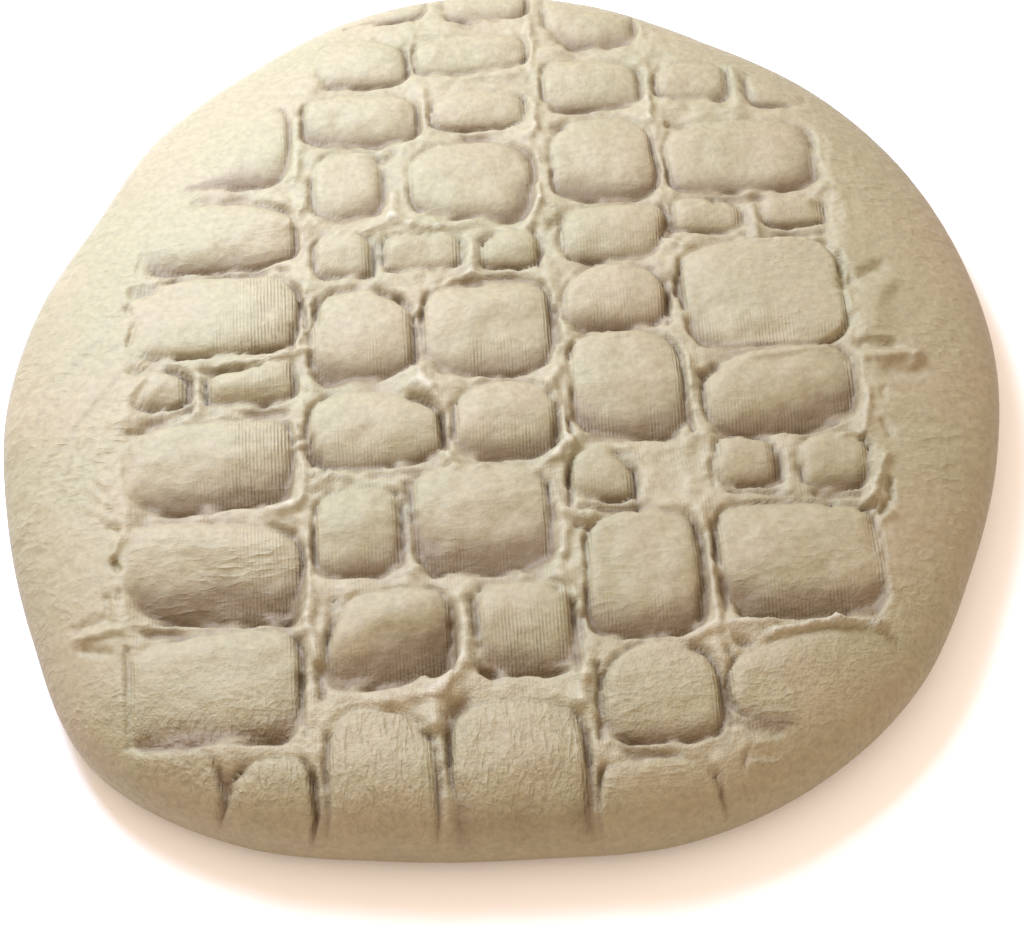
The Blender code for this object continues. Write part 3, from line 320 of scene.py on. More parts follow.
class PatSizes(bpy.types.PropertyGroup):
    """Sizes of the pat and of the pattern that is rolled into it."""

    dome_height: FloatProperty(
        name="Dome Height", description="Height of the pat before it is rolled",
        default=0.00608, unit="LENGTH", precision=5)
    belly_height: FloatProperty(
        name="Belly Height", description="Height at which the pat is widest",
        default=0.0024, unit="LENGTH", precision=4)
    base_inset: FloatProperty(
        name="Base Inset", description="How far the underside lies in from the belly",
        default=0.0016, unit="LENGTH", precision=4)
    dome_reach: FloatProperty(
        name="Dome Reach", description="Width of the rounded band round the level middle",
        default=0.0120, unit="LENGTH", precision=4)
    rolled_height: FloatProperty(
        name="Rolled Height", description="Height of the stones' crowns",
        default=0.00586, unit="LENGTH", precision=5)
    line_pitch: FloatProperty(
        name="Line Pitch", description="Spacing of the fine lines that the roller printed through",
        default=0.0002, unit="LENGTH", precision=5)
    columns: IntProperty(
        name="Columns", description="Grid columns between the two side margins",
        default=196, min=40)
    rows: IntProperty(
        name="Rows", description="Grid rows from the near end to the far end",
        default=318, min=40)


class ClayColours(bpy.types.PropertyGroup):
    """Colours of the clay, of the paler tint and painted highlight on its mortar, and of the painted
    shade in its grooves.
    """

    clay: FloatVectorProperty(
        name="Clay", description="Colour of the clay", subtype="COLOR", size=4,
        default=(0.256, 0.203, 0.124, 1.0), min=0.0, max=1.0)
    # The paler, pinker tint of the mortar, which on its highest crests is a painted highlight
    mortar_tint_and_highlight: FloatVectorProperty(
        name="Crests", description="Colour of the thin crests of mortar", subtype="COLOR", size=4,
        default=(0.370, 0.318, 0.240, 1.0), min=0.0, max=1.0)
    # Painted shade: the colour that darkens the grooves by their depth
    painted_groove_shade: FloatVectorProperty(
        name="Grooves", description="Colour down in the grooves", subtype="COLOR", size=4,
        default=(0.132, 0.086, 0.046, 1.0), min=0.0, max=1.0)
    olive: FloatVectorProperty(
        name="Olive", description="Colour of the greener clouds in the clay", subtype="COLOR",
        size=4, default=(0.236, 0.201, 0.117, 1.0), min=0.0, max=1.0)


class StudioSettings(bpy.types.PropertyGroup):
    """The table, the lights and the camera."""

    table: FloatVectorProperty(
        name="Table", description="Colour of the table", subtype="COLOR", size=4,
        default=(0.94, 0.93, 0.99, 1.0), min=0.0, max=1.0)
    window_power: FloatProperty(
        name="Window Power", description="Power of the light high over the far left",
        default=0.229, unit="POWER")
    fill: FloatProperty(
        name="Fill", description="Strength of the light from all round", default=1.24)
    lens: FloatProperty(
        name="Lens", description="Focal length of the camera in millimetres", default=96.0)


# The outline, and the clay's clouds of noise

OUTLINE_SIDES = 72
CLOUD_OCTAVES = 3


def around(values, turn):
    """A closed smooth curve through evenly spaced values, read at these parts of a full turn."""
    place = np.mod(turn, 1.0) * len(values)
    start = np.floor(place).astype(int)
    f = place - start
    a, b, c, d = (np.take(values, start + step, mode="wrap") for step in (-1, 0, 1, 2))
    return b + f / 2 * (c - a + f * (2 * a - 5 * b + 4 * c - d + f * (3 * b - 3 * c + d - a)))


def silhouette(turn):
    """The pat's radius in millimetres at these parts of a turn."""
    return around(OUTLINE, turn)


def middle_of_outline():
    """The middle in plan of the pat's box, as the CAD body has it over the origin."""
    turn = np.arange(OUTLINE_SIDES) / OUTLINE_SIDES
    x = silhouette(turn) * np.cos(math.tau * turn)
    y = silhouette(turn) * np.sin(math.tau * turn)
    return (x.min() + x.max()) / 2, (y.min() + y.max()) / 2


def smoothstep(low, high, value):
    share = np.clip((value - low) / (high - low), 0.0, 1.0)
    return share * share * (3 - 2 * share)


def clouds(x, y, size, seed):
    """Smooth noise from about -1 to 1, its largest clouds this size in millimetres."""
    points = zip(np.ravel(x / size), np.ravel(y / size))
    values = [
        noise.fractal(
            Vector((a, b, seed)), 1.0, 2.0, CLOUD_OCTAVES, noise_basis="PERLIN_ORIGINAL")
        for a, b in points
    ]
    return np.reshape(values, np.shape(x))


# The stones in plan

# The sides of a stone's foot and how far these waver, and how far out from it, in millimetres,
# its distance is worked out
STONE_SIDES = 72
SIDE_WAVER = 0.16
SEARCH_REACH = 3.0


def stone_outline(stone):
    """A stone's foot in plan: a rounded four-sided form with slightly wavering edges."""
    near_left, near_right, far_right, far_left, far_bulge, near_bulge, squareness = stone[:7]
    angle = math.tau * (np.arange(STONE_SIDES) + 0.5) / STONE_SIDES
    u = np.sign(np.cos(angle)) * np.abs(np.cos(angle)) ** (2 / squareness)
    v = np.sign(np.sin(angle)) * np.abs(np.sin(angle)) ** (2 / squareness)
    weights = ((1 - u) * (1 - v), (1 + u) * (1 - v), (1 + u) * (1 + v), (1 - u) * (1 + v))
    corners = (near_left, near_right, far_right, far_left)
    x = sum(weight * corner[0] for weight, corner in zip(weights, corners)) / 4
    y = sum(weight * corner[1] for weight, corner in zip(weights, corners)) / 4
    y += (1 - u * u) * (far_bulge * np.maximum(v, 0) - near_bulge * np.maximum(-v, 0))
    x += SIDE_WAVER * clouds(x, y, 1.6, 3.1)
    y += SIDE_WAVER * clouds(x, y, 1.6, 8.4)
    return np.stack([x, y], axis=1)


def depth_inside(points, outline):
    """Distance of each point from a closed outline, positive inside it, and the unit direction
    to the point from the nearest place of the outline."""
    after = np.roll(outline, -1, axis=0)
    run = after - outline
    offset = points[:, None, :] - outline[None, :, :]
    share = np.clip((offset * run).sum(2) / (run * run).sum(1), 0, 1)
    gap = offset - share[:, :, None] * run
    distance = np.sqrt((gap * gap).sum(2))
    nearest = distance.argmin(1)
    rows = np.arange(len(points))
    distance = np.maximum(distance[rows, nearest], 1e-6)
    heading = gap[rows, nearest] / distance[:, None]
    above = offset[:, :, 1] >= 0
    next_above = points[:, None, 1] >= after[None, :, 1]
    slope = run[:, 0] / np.where(run[:, 1] == 0, 1e-9, run[:, 1])
    left_of = offset[:, :, 0] < slope * offset[:, :, 1]
    inside = ((above != next_above) & left_of).sum(1) % 2 == 1
    heading[inside] *= -1
    return np.where(inside, distance, -distance), heading


def nearest_stones(x, y):
    """For each point: how deep it lies inside its nearest stone and inside its next nearest,
    below zero outside them, the nearest stone's number, and the direction in which its side
    faces there."""
    points = np.stack([np.ravel(x), np.ravel(y)], axis=1)
    first = np.full(len(points), -SEARCH_REACH)
    second = np.full(len(points), -SEARCH_REACH)
    number = np.zeros(len(points), int)
    facing = np.zeros((len(points), 2))
    for index, stone in enumerate(STONES.values()):
        outline = stone_outline(stone)
        low, high = outline.min(0) - SEARCH_REACH, outline.max(0) + SEARCH_REACH
        close = np.flatnonzero(((points > low) & (points < high)).all(1))
        depth, heading = depth_inside(points[close], outline)
        nearer = depth > first[close]
        second[close] = np.where(nearer, first[close], np.maximum(second[close], depth))
        first[close] = np.where(nearer, depth, first[close])
        number[close] = np.where(nearer, index, number[close])
        facing[close[nearer]] = heading[nearer]
    shape = np.shape(x)
    facing = facing.T.reshape(2, *shape)
    return first.reshape(shape), second.reshape(shape), number.reshape(shape), facing


# The relief, with every height in millimetres

# How soft the line is where a facet begins, and how far a stroke reaches, in widths of its own
FACET_SOFTNESS = 0.05
STROKE_REACH = 2.6


def dome_height(sizes, x, y):
    """Height in millimetres of the pat before it was rolled."""
    turn = np.arctan2(y, x) / math.tau
    belly = sizes.belly_height / MM
    rise = sizes.dome_height / MM - belly
    reach = sizes.dome_reach / MM * around(REACH_SHARES, turn)
    share = np.clip((silhouette(turn) - np.hypot(x, y)) / reach, 0, 1)
    return belly + rise * np.sqrt(1 - (1 - share) ** 2)


def stone_textures(number):
    """How strongly the fine lines and the wrinkles show on the stone of this number."""
    return np.array([stone[7:] for stone in STONES.values()]).T[:, number]


def side_distances(number, x, y):
    """How far each point lies in from the near, far, left and right sides of its stone."""
    corners = np.array([stone[:4] for stone in STONES.values()])[number]
    far_bulge, near_bulge = np.array([stone[4:6] for stone in STONES.values()]).T[:, number]
    near_left, near_right, far_right, far_left = np.moveaxis(corners, -2, 0)
    across = (x - near_left[..., 0]) / (near_right[..., 0] - near_left[..., 0])
    arch = 1 - (2 * np.clip(across, 0, 1) - 1) ** 2
    near = near_left[..., 1] + across * (near_right[..., 1] - near_left[..., 1])
    far = far_left[..., 1] + across * (far_right[..., 1] - far_left[..., 1])
    along = (y - near_left[..., 1]) / (far_left[..., 1] - near_left[..., 1])
    left = near_left[..., 0] + along * (far_left[..., 0] - near_left[..., 0])
    right = near_right[..., 0] + along * (far_right[..., 0] - near_right[..., 0])
    return y - near + arch * near_bulge, far + arch * far_bulge - y, x - left, right - x


def rounded(distance, radius):
    """Fall of a rounded edge: 1 at the edge, 0 from its radius inwards."""
    share = np.clip(distance / radius, 0, 1)
    return 1 - np.sqrt(1 - (1 - share) ** 2)


def facets(number, x, y):
    """How far the stones' facets take their crowns down."""
    names = list(STONES)
    total = np.zeros_like(x)
    for name, x0, y0, x1, y1, slope in FACETS:
        run = math.hypot(x1 - x0, y1 - y0)
        beyond = ((x - x0) * (y1 - y0) - (y - y0) * (x1 - x0)) / run
        fall = slope * (beyond + np.sqrt(beyond ** 2 + FACET_SOFTNESS)) / 2
        total += np.where(number == names.index(name), fall, 0)
    return total


def strokes(x, y):
    """Sum of the ridges and pits that are drawn as strokes."""
    total = np.zeros_like(x)
    for x0, y0, x1, y1, width, rise in STROKES:
        reach = STROKE_REACH * width
        low_x, high_x = min(x0, x1) - reach, max(x0, x1) + reach
        low_y, high_y = min(y0, y1) - reach, max(y0, y1) + reach
        close = (x > low_x) & (x < high_x) & (y > low_y) & (y < high_y)
        px, py = x[close] - x0, y[close] - y0
        run_x, run_y = x1 - x0, y1 - y0
        length = max(run_x ** 2 + run_y ** 2, 1e-9)
        share = np.clip((px * run_x + py * run_y) / length, 0, 1)
        gap = np.hypot(px - share * run_x, py - share * run_y)
        total[close] += rise * np.exp(-((gap / width) ** 2))
    return total


# How far a stone's crown falls to its near, far, left and right ends, and the powers that put
# most of each fall close to the end
NEAR_FALL, NEAR_POWER = 1.28, 1.6
FAR_FALL, FAR_POWER = 0.58, 2.0
LEFT_FALL, LEFT_POWER = 0.42, 4.0
RIGHT_FALL, RIGHT_POWER = 0.52, 3.6

# Where the crown is highest, as a share of the stone's length from its near end, the length below
# which its near and far ends fall less, and the least length and breadth that it's taken to have
CROWN_TOP = 0.66
FULL_FALL_LENGTH = 4.5
LEAST_SIDE = 0.5


def loaf(share, power):
    """Fall from a loaf's top, at 0, to its edge, at 1: gentle at first, steep at the end."""
    return 1 - np.sqrt(1 - np.minimum(share, 1) ** power * 0.995)


def crown(sides):
    """Height of a stone's crown: a loaf whose far end stands higher."""
    near, far, left, right = (np.maximum(side, 0.0) for side in sides)
    length = np.maximum(near + far, LEAST_SIDE)
    along = near / length
    across = left / np.maximum(left + right, LEAST_SIDE)
    to_near = np.clip((CROWN_TOP - along) / CROWN_TOP, 0, 1)
    to_far = np.clip((along - CROWN_TOP) / (1 - CROWN_TOP), 0, 1)
    to_left = np.clip(1 - across / 0.5, 0, 1)
    to_right = np.clip((across - 0.5) / 0.5, 0, 1)
    size = np.minimum(length / FULL_FALL_LENGTH, 1.0) ** 0.6
    fall = size * (NEAR_FALL * loaf(to_near, NEAR_POWER) + FAR_FALL * loaf(to_far, FAR_POWER))
    fall += LEFT_FALL * loaf(to_left, LEFT_POWER) + RIGHT_FALL * loaf(to_right, RIGHT_POWER)
    return -fall


def by_side(facing, near, far, left, right):
    """A value for each direction in which a stone's side can face."""
    face_x, face_y = facing
    along_y = np.where(face_y < 0, near, far)
    along_x = np.where(face_x < 0, left, right)
    return along_x * face_x ** 2 + along_y * face_y ** 2


# Where the relief fades at the pattern's left and right edges, and by how much
LEFT_FADE = (-20.0, -21.3)
RIGHT_FADE = (19.9, 20.9)
STONE_LEFT_LOSS = 0.60
MORTAR_LEFT_LOSS = 0.70
MORTAR_RIGHT_LOSS = 0.60

# The rounding of a stone's edge, the steepness of its wall, and its lumps and dimples
EDGE_FALL = 0.14
EDGE_RADIUS = 0.30
WALL_STEEPNESS = 4.0
STONE_LUMPS = 0.22
STONE_DIMPLES = 0.045

# The mortar's level from the level of the crowns, how much higher it lies where a gutter is wide,
# its lumps and its grain
MORTAR_LEVEL = -0.52
WIDE_MORTAR_RISE = 0.24
MORTAR_LUMPS = 0.18
MORTAR_GRAIN = 0.10

# How deep the mortar's foot lies at the near, far, left and right sides of a stone, how much
# deeper it lies where the clay has sunk, and how far out from the stone the mortar has risen
FOOT_DEPTHS = (0.16, 0.02, 0.14, 0.40)
SUNK_DEPTHS = (0.58, 0.00, 0.42, 0.25)
FOOT_REACH = 0.42

# How steeply the mortar dives under a stone, and how much more steeply where it has sunk
MORTAR_DIVE = 0.8
SUNK_DIVE = 2.0

# The levels between which the grooves take a painted shade, the stroke height from which a crest takes a
# painted highlight and how fast it does, how strongly wrinkles show in the mortar, and the widest gutter
# counted
GROOVE_SHADE_LEVELS = (-0.30, -0.92)
HIGHLIGHT_STROKE = 0.24
HIGHLIGHT_GAIN = 2.6
MORTAR_WRINKLES = 0.4
WIDEST_GUTTER = 3.0


def rolled_relief(x, y, marks):
    """Height of the rolled pattern above its crowns' level, and its masks."""
    depth, second, number, facing = nearest_stones(x, y)
    sides = side_distances(number, x, y)
    at_left = smoothstep(*LEFT_FADE, x)
    at_right = smoothstep(*RIGHT_FADE, x)

    stone = crown(sides) - facets(number, x, y)
    stone -= EDGE_FALL * rounded(depth, EDGE_RADIUS) + WALL_STEEPNESS * np.maximum(-depth, 0)
    stone *= 1 - STONE_LEFT_LOSS * at_left
    inward = smoothstep(0.0, 1.2, depth)
    stone += STONE_LUMPS * clouds(x, y, 3.0, 5.5) * (0.3 + 0.7 * inward)
    stone += STONE_DIMPLES * clouds(x, y, 0.9, 1.5)

    width = np.clip(-depth - second, 0.0, WIDEST_GUTTER)
    plateau = MORTAR_LEVEL + WIDE_MORTAR_RISE * smoothstep(0.5, 2.0, width)
    plateau += MORTAR_LUMPS * clouds(x, y, 1.6, 7.7)
    sunk = smoothstep(-0.35, 0.25, clouds(x, y, 2.4, 4.9))
    depths = (still + extra * sunk for still, extra in zip(FOOT_DEPTHS, SUNK_DEPTHS))
    foot = plateau - by_side(facing, *depths)
    rise = smoothstep(0.0, FOOT_REACH, -depth)
    mortar = foot + (plateau - foot) * rise + MORTAR_GRAIN * clouds(x, y, 0.7, 4.2)
    mortar -= (MORTAR_DIVE + SUNK_DIVE * sunk) * np.maximum(depth, 0)
    mortar *= 1 - MORTAR_LEFT_LOSS * at_left - MORTAR_RIGHT_LOSS * at_right
    relief = smooth_max(stone, mortar, 0.05) + marks

    is_stone = smoothstep(-0.05, 0.08, stone - mortar)
    lines, wrinkles = stone_textures(number)
    # A paler tint over the mortar, stronger toward the near end, and a painted highlight on the strokes
    # that stand highest
    mortar_tint_and_highlight = (1 - is_stone) * rise * (0.05 + 0.13 * smoothstep(6.0, -12.0, y))
    masks = {
        # Painted shade in the grooves, darker the deeper the relief lies
        "painted_groove_shade": smoothstep(*GROOVE_SHADE_LEVELS, relief),
        "mortar_tint_and_highlight": np.clip(mortar_tint_and_highlight + HIGHLIGHT_GAIN * np.maximum(marks - HIGHLIGHT_STROKE, 0), 0, 1),
        "strands": is_stone * smoothstep(-20.5, -24.0, y) * smoothstep(4.2, 3.2, x),
        "lines": line_mask(lines, sides, width, is_stone, x, y),
        "wrinkles": is_stone * wrinkles + (1 - is_stone) * MORTAR_WRINKLES,
    }
    return relief, masks


def line_mask(lines, sides, width, is_stone, x, y):
    """Where the roller's fine lines show: at the stones' near feet and side walls, at the right
    ends of the left course, and faintly in the mortar. They fade toward the far end."""
    near, _, left, right = sides
    in_left = x < GUTTERS[1]
    patches = smoothstep(-0.35, 0.20, clouds(x, 0.35 * y, 1.3, 3.3))
    by_foot = smoothstep(3.2, 0.6, near - 15 * np.maximum(lines - 0.8, 0)) * patches
    by_foot *= np.where(in_left, smoothstep(6.5, 3.5, right), 1.0)
    lined_end = np.where(in_left, np.maximum(lines - 0.3, 0) * 1.4, 0)
    right_end = smoothstep(4.2, 2.2, right) * lined_end
    by_wall = np.maximum(smoothstep(0.60, 0.15, np.minimum(left + 0.2, right)), right_end)
    in_mortar = 0.18 * patches * smoothstep(6.0, -4.0, y) * smoothstep(0.1, 0.7, width)
    shown = is_stone * (lines * by_foot + by_wall) + (1 - is_stone) * in_mortar
    return shown * (1 - 0.75 * smoothstep(5.0, 14.0, y))


def smooth_max(a, b, radius):
    return -smooth_min(-a, -b, radius)


def smooth_min(a, b, radius):
    blend = np.clip(0.5 + 0.5 * (b - a) / radius, 0, 1)
    return b * (1 - blend) + a * blend - radius * blend * (1 - blend)


# The way that the left margin's creases run, and the heights of the long and the short ones, of
# the right margin's level ones and of the skin's lumps
CREASE_RUN = (0.62, 0.78)
LONG_CREASES = 0.16
SHORT_CREASES = 0.05
LEVEL_CREASES = 0.04
SKIN_LUMPS = 0.035


def margin_creases(x, y):
    """The long slanting creases of the left margin and the faint level ones of the right."""
    run_x, run_y = CREASE_RUN
    along, across = run_x * x + run_y * y, run_y * x - run_x * y
    left = smoothstep(-20.5, -22.5, x) * (0.25 + 0.75 * smoothstep(-15.0, -8.0, y))
    right = smoothstep(21.0, 23.0, x)
    slanting = LONG_CREASES * clouds(across, 0.14 * along, 1.3, 2.7)
    slanting += SHORT_CREASES * clouds(across, 0.2 * along, 0.5, 5.2)
    level = LEVEL_CREASES * clouds(0.35 * x, y, 0.9, 3.8) * smoothstep(0.0, -4.0, y)
    return left * slanting + right * level + SKIN_LUMPS * clouds(x, y, 0.8, 8.8)


# How strongly the strokes are drawn and how far they waver, and how much flatter the relief is
# toward the far end
STROKE_STRENGTH = 1.05
STROKE_WAVER = 0.12
FAR_LOSS = 0.10

# The share of the dome's fall below the crowns that the pattern follows, the further share that
# it follows at the near end, and how far the roller's face rises beyond the pattern's edges
FOLLOWED = 0.35
FOLLOWED_NEAR = 0.30
ROLLER_RISE = 1.4

# The masks' values where the roller didn't touch the clay, where these aren't zero
UNTOUCHED_MASKS = {"wrinkles": 0.75}


def top_height(sizes, x, y):
    """Height of the finished top at these places, and its masks."""
    px = x - PATTERN_SHIFT
    waver = STROKE_WAVER * clouds(px, y, 0.7, 6.1)
    marks = STROKE_STRENGTH * strokes(px + waver, y - waver)
    relief, masks = rolled_relief(px, y, marks)
    relief *= 1 - FAR_LOSS * smoothstep(4.0, 16.0, y)
    for worn_x, worn_y, across, along, share in WORN:
        spot = ((px - worn_x) / across) ** 2 + ((y - worn_y) / along) ** 2
        relief *= 1 - share * np.exp(-(spot ** 2))

    dome = dome_height(sizes, x, y)
    level = sizes.rolled_height / MM
    follow = FOLLOWED + FOLLOWED_NEAR * smoothstep(-14.0, -21.0, y)
    rolled = level - follow * np.maximum(level - dome, 0) + relief
    dome = dome + 0.05 * clouds(x, y, 5.0, 6.6) + 0.02 * clouds(x, y, 1.2, 6.9)
    dome += margin_creases(px, y) + marks

    edge = 0.35 * clouds(px, y, 2.2, 9.1)
    ragged = 0.9 * clouds(px, y, 2.6, 9.1) + 0.25 * clouds(px, y, 0.8, 4.4)
    off = np.maximum(PATTERN_LEFT + edge - px, px - PATTERN_RIGHT - ragged)
    pressed = rolled + ROLLER_RISE * smoothstep(-0.8, 0.9, off)
    blend = 0.25 + 0.60 * smoothstep(-1.2, 0.0, off)
    height = smooth_min(smooth_min(dome, pressed, blend), CAD_BOX[1][2] / MM, 0.08)
    touched = smoothstep(0.12, -0.05, pressed - dome)
    for key in ("lines", "painted_groove_shade", "mortar_tint_and_highlight", "wrinkles"):
        masks[key] = masks[key] * touched + UNTOUCHED_MASKS.get(key, 0.0) * (1 - touched)
    return height, masks


# The lump of clay, with every place in millimetres

# The ends of the straight columns, how much denser these are at a gutter, and how far from it
COLUMNS_LEFT = -22.3
COLUMNS_RIGHT = 22.0
GUTTER_DENSITY = 1.3
GUTTER_REACH = 0.8

# How much denser the rows are at a stone's edge, how far from it, and over how many columns
# either way this is evened out
EDGE_DENSITY = 0.5
EDGE_REACH = 0.5
EVENED_COLUMNS = 12

# How far inside the outline the grid ends, the columns of each margin and where its corners lie
GRID_INSET = 1.0
MARGIN_COLUMNS = 26
CORNER_LEFT = -23.9
CORNER_RIGHT = 23.9

# The rim's rings, those of them above the belly, and how far in from the base the last one lies
RIM_RINGS = 12
UPPER_RINGS = 6
LAST_RING_INSET = 0.3


def column_places(count):
    """Places across the pattern in millimetres, closer together where a gutter runs."""
    fine = np.linspace(COLUMNS_LEFT, COLUMNS_RIGHT, 4000)
    density = np.ones_like(fine)
    for gutter in GUTTERS:
        density += GUTTER_DENSITY * np.exp(-(((fine - gutter) / GUTTER_REACH) ** 2))
    share = np.concatenate([[0], np.cumsum((density[1:] + density[:-1]) / 2)])
    return np.interp(np.linspace(0, share[-1], count + 1), share, fine)


def row_shares(lows, highs, places, count):
    """Shares of the way from the near end to the far end along each column, closer together at
    the stones' edges."""
    even = np.linspace(0, 1, 900)
    y = lows[:, None] + (highs - lows)[:, None] * even
    x = np.repeat((places - PATTERN_SHIFT)[:, None], len(even), axis=1)
    depth = nearest_stones(x, y)[0]
    density = 1 + EDGE_DENSITY * np.exp(-((depth / EDGE_REACH) ** 2))
    away = np.arange(-EVENED_COLUMNS, EVENED_COLUMNS + 1)
    kernel = np.exp(-((away / (EVENED_COLUMNS / 2)) ** 2))
    kernel /= kernel.sum()
    padded = np.pad(density, ((EVENED_COLUMNS, EVENED_COLUMNS), (0, 0)), mode="edge")
    density = sum(weight * padded[k:k + len(density)] for k, weight in enumerate(kernel))
    total = np.cumsum(density, axis=1) - density[:, :1]
    steps = np.linspace(0, 1, count + 1)
    return np.array([np.interp(steps * row[-1], row, even) for row in total])


def inner_outline():
    """The closed curve at which the grid ends and the rim's rings begin."""
    turn = np.linspace(0, 1, 4001)[:-1]
    radius = silhouette(turn) - GRID_INSET
    return radius * np.cos(math.tau * turn), radius * np.sin(math.tau * turn)


def read_off(curve, places, where):
    """A curve's second coordinate at these places of its first, on the part that is asked for."""
    along, value = curve[0][where], curve[1][where]
    order = np.argsort(along)
    return np.interp(places, along[order], value[order])


def plan_of_grid(sizes):
    """Plan places of the grid's points, column by column from the left."""
    curve_x, curve_y = inner_outline()
    straight = column_places(sizes.columns)
    margins = np.arange(MARGIN_COLUMNS) / MARGIN_COLUMNS
    places = np.concatenate([
        CORNER_LEFT + (straight[0] - CORNER_LEFT) * margins,
        straight,
        straight[-1] + (CORNER_RIGHT - straight[-1]) * (margins + 1 / MARGIN_COLUMNS),
    ])
    lows = read_off((curve_x, curve_y), places, curve_y < 0)
    highs = read_off((curve_x, curve_y), places, curve_y >= 0)
    shares = row_shares(lows, highs, places, sizes.rows)
    x = np.repeat(places[:, None], sizes.rows + 1, axis=1)
    y = lows[:, None] + (highs - lows)[:, None] * shares
    bulge = read_off((curve_y, curve_x), y[0], curve_x < 0) - CORNER_LEFT
    x[:MARGIN_COLUMNS] += (1 - margins)[:, None] * bulge
    bulge = read_off((curve_y, curve_x), y[-1], curve_x >= 0) - CORNER_RIGHT
    x[-MARGIN_COLUMNS:] += (margins + 1 / MARGIN_COLUMNS)[:, None] * bulge
    return x, y


def make_lump(sizes, name):
    """The grid with its border extruded ring by ring, and closed by one flat face."""
    bm = bmesh.new()
    columns = sizes.columns + 2 * MARGIN_COLUMNS
    bmesh.ops.create_grid(bm, x_segments=columns, y_segments=sizes.rows, size=1.0)
    border = [edge for edge in bm.edges if edge.is_boundary]
    for ring in range(RIM_RINGS):
        step = bmesh.ops.extrude_edge_only(bm, edges=border)["geom"]
        border = [item for item in step if isinstance(item, bmesh.types.BMEdge)]
        fresh = [item for item in step if isinstance(item, bmesh.types.BMVert)]
        bmesh.ops.translate(bm, verts=fresh, vec=(0, 0, -1))
    bmesh.ops.contextual_create(bm, geom=border)
    bmesh.ops.recalc_face_normals(bm, faces=bm.faces)
    mesh = bpy.data.meshes.new(name)
    bm.to_mesh(mesh)
    bm.free()
    return mesh


def rim_section(sizes, ring, share, border_height, reach):
    """How far in from the belly a ring of the rim lies, and how high: an arc of the dome down to
    the belly, a rounded foot down to the base, and the last ring on the underside."""
    belly = sizes.belly_height / MM
    base_inset = sizes.base_inset / MM
    dome_share = GRID_INSET / reach
    start = np.arccos(1 - dome_share)
    angle = start * (1 - share)
    inset = (1 - np.cos(angle)) / dome_share * GRID_INSET
    z = belly + (border_height - belly) * (np.sin(angle) / np.sin(start))
    foot = np.clip((ring - UPPER_RINGS) / (RIM_RINGS - 1 - UPPER_RINGS), 0, 1) * math.pi / 2
    under = ring > UPPER_RINGS
    inset = np.where(under, base_inset * (1 - np.cos(foot)), inset)
    z = np.where(under, belly * (1 - np.sin(foot)), z)
    last = ring == RIM_RINGS
    return np.where(last, base_inset + LAST_RING_INSET, inset), np.where(last, 0.0, z)


def press_into_shape(mesh, sizes):
    """Moves the grid's points to the pat's plan, the rolled top and the rim."""
    co = np.empty(len(mesh.vertices) * 3, np.float32)
    mesh.vertices.foreach_get("co", co)
    co = co.reshape(-1, 3).astype(float)
    columns = sizes.columns + 2 * MARGIN_COLUMNS
    plan_x, plan_y = plan_of_grid(sizes)
    column = np.rint((co[:, 0] + 1) / 2 * columns).astype(int)
    row = np.rint((co[:, 1] + 1) / 2 * sizes.rows).astype(int)
    ring = np.rint(-co[:, 2]).astype(int)
    x, y = plan_x[column, row], plan_y[column, row]
    height, masks = top_height(sizes, x, y)

    rim = ring > 0
    share = np.clip(ring[rim] / UPPER_RINGS, 0, 1)
    turn = np.arctan2(y[rim], x[rim]) / math.tau
    reach = sizes.dome_reach / MM * around(REACH_SHARES, turn)
    inset, height[rim] = rim_section(sizes, ring[rim], share, height[rim], reach)
    out = silhouette(turn) - inset
    x[rim] = out * np.cos(math.tau * turn)
    y[rim] = out * np.sin(math.tau * turn)
    for key, values in masks.items():
        values[rim] = values[rim] * (1 - share) + UNTOUCHED_MASKS.get(key, 0.0) * share
    masks["crumbs"] = smoothstep(-17.5, -23.0, y - 0.2 * np.maximum(x, 0))

    middle_x, middle_y = middle_of_outline()
    co = np.stack([x - middle_x, y - middle_y, height], axis=1) * MM
    mesh.vertices.foreach_set("co", co.astype(np.float32).ravel())
    for key, values in masks.items():
        layer = mesh.attributes.new(key, "FLOAT", "POINT")
        layer.data.foreach_set("value", np.clip(values, 0, 1).astype(np.float32))
    mesh.update()


# Materials


def add(tree, kind, inputs=None, **settings):
    """A shader node with its settings, and its inputs linked or given a value."""
    made = tree.nodes.new("ShaderNode" + kind)
    for name, value in settings.items():
        setattr(made, name, value)
    for socket, value in (inputs or {}).items():
        if isinstance(value, bpy.types.NodeSocket):
            tree.links.new(value, made.inputs[socket])
        else:
            made.inputs[socket].default_value = value
    return made


def maths(tree, operation, *values):
    return add(tree, "Math", dict(enumerate(values)), operation=operation).outputs[0]


def product(tree, first, *others):
    for value in others:
        first = maths(tree, "MULTIPLY", first, value)
    return first


def mixed(tree, share, first, second):
    made = add(tree, "Mix", {0: share, 6: first, 7: second}, data_type="RGBA")
    return made.outputs[2]


def ranged(tree, value, low, high, to_low, to_high):
    """A value moved from one range to another, and kept inside it."""
    made = add(tree, "MapRange", {0: value, 1: low, 2: high, 3: to_low, 4: to_high})
    return made.outputs[0]


def shaded(tree, colour, value):
    """A colour made this many times as bright."""
    made = add(tree, "HueSaturation", {"Color": colour, "Value": value})
    return made.outputs["Color"]


def stretched(tree, vector, scale, turn=0.0):
    settings = {"Vector": vector, "Rotation": (0.0, 0.0, turn), "Scale": scale}
    return add(tree, "Mapping", settings).outputs[0]


def new_material(name):
    material = bpy.data.materials.new(name)
    material.use_nodes = True
    material.node_tree.nodes.clear()
    return material, material.node_tree


def noise_value(tree, vector, scale, detail, roughness=0.5):
    made = add(tree, "TexNoise", {
        "Vector": vector, "Scale": scale, "Detail": detail, "Roughness": roughness})
    return made.outputs["Fac"]


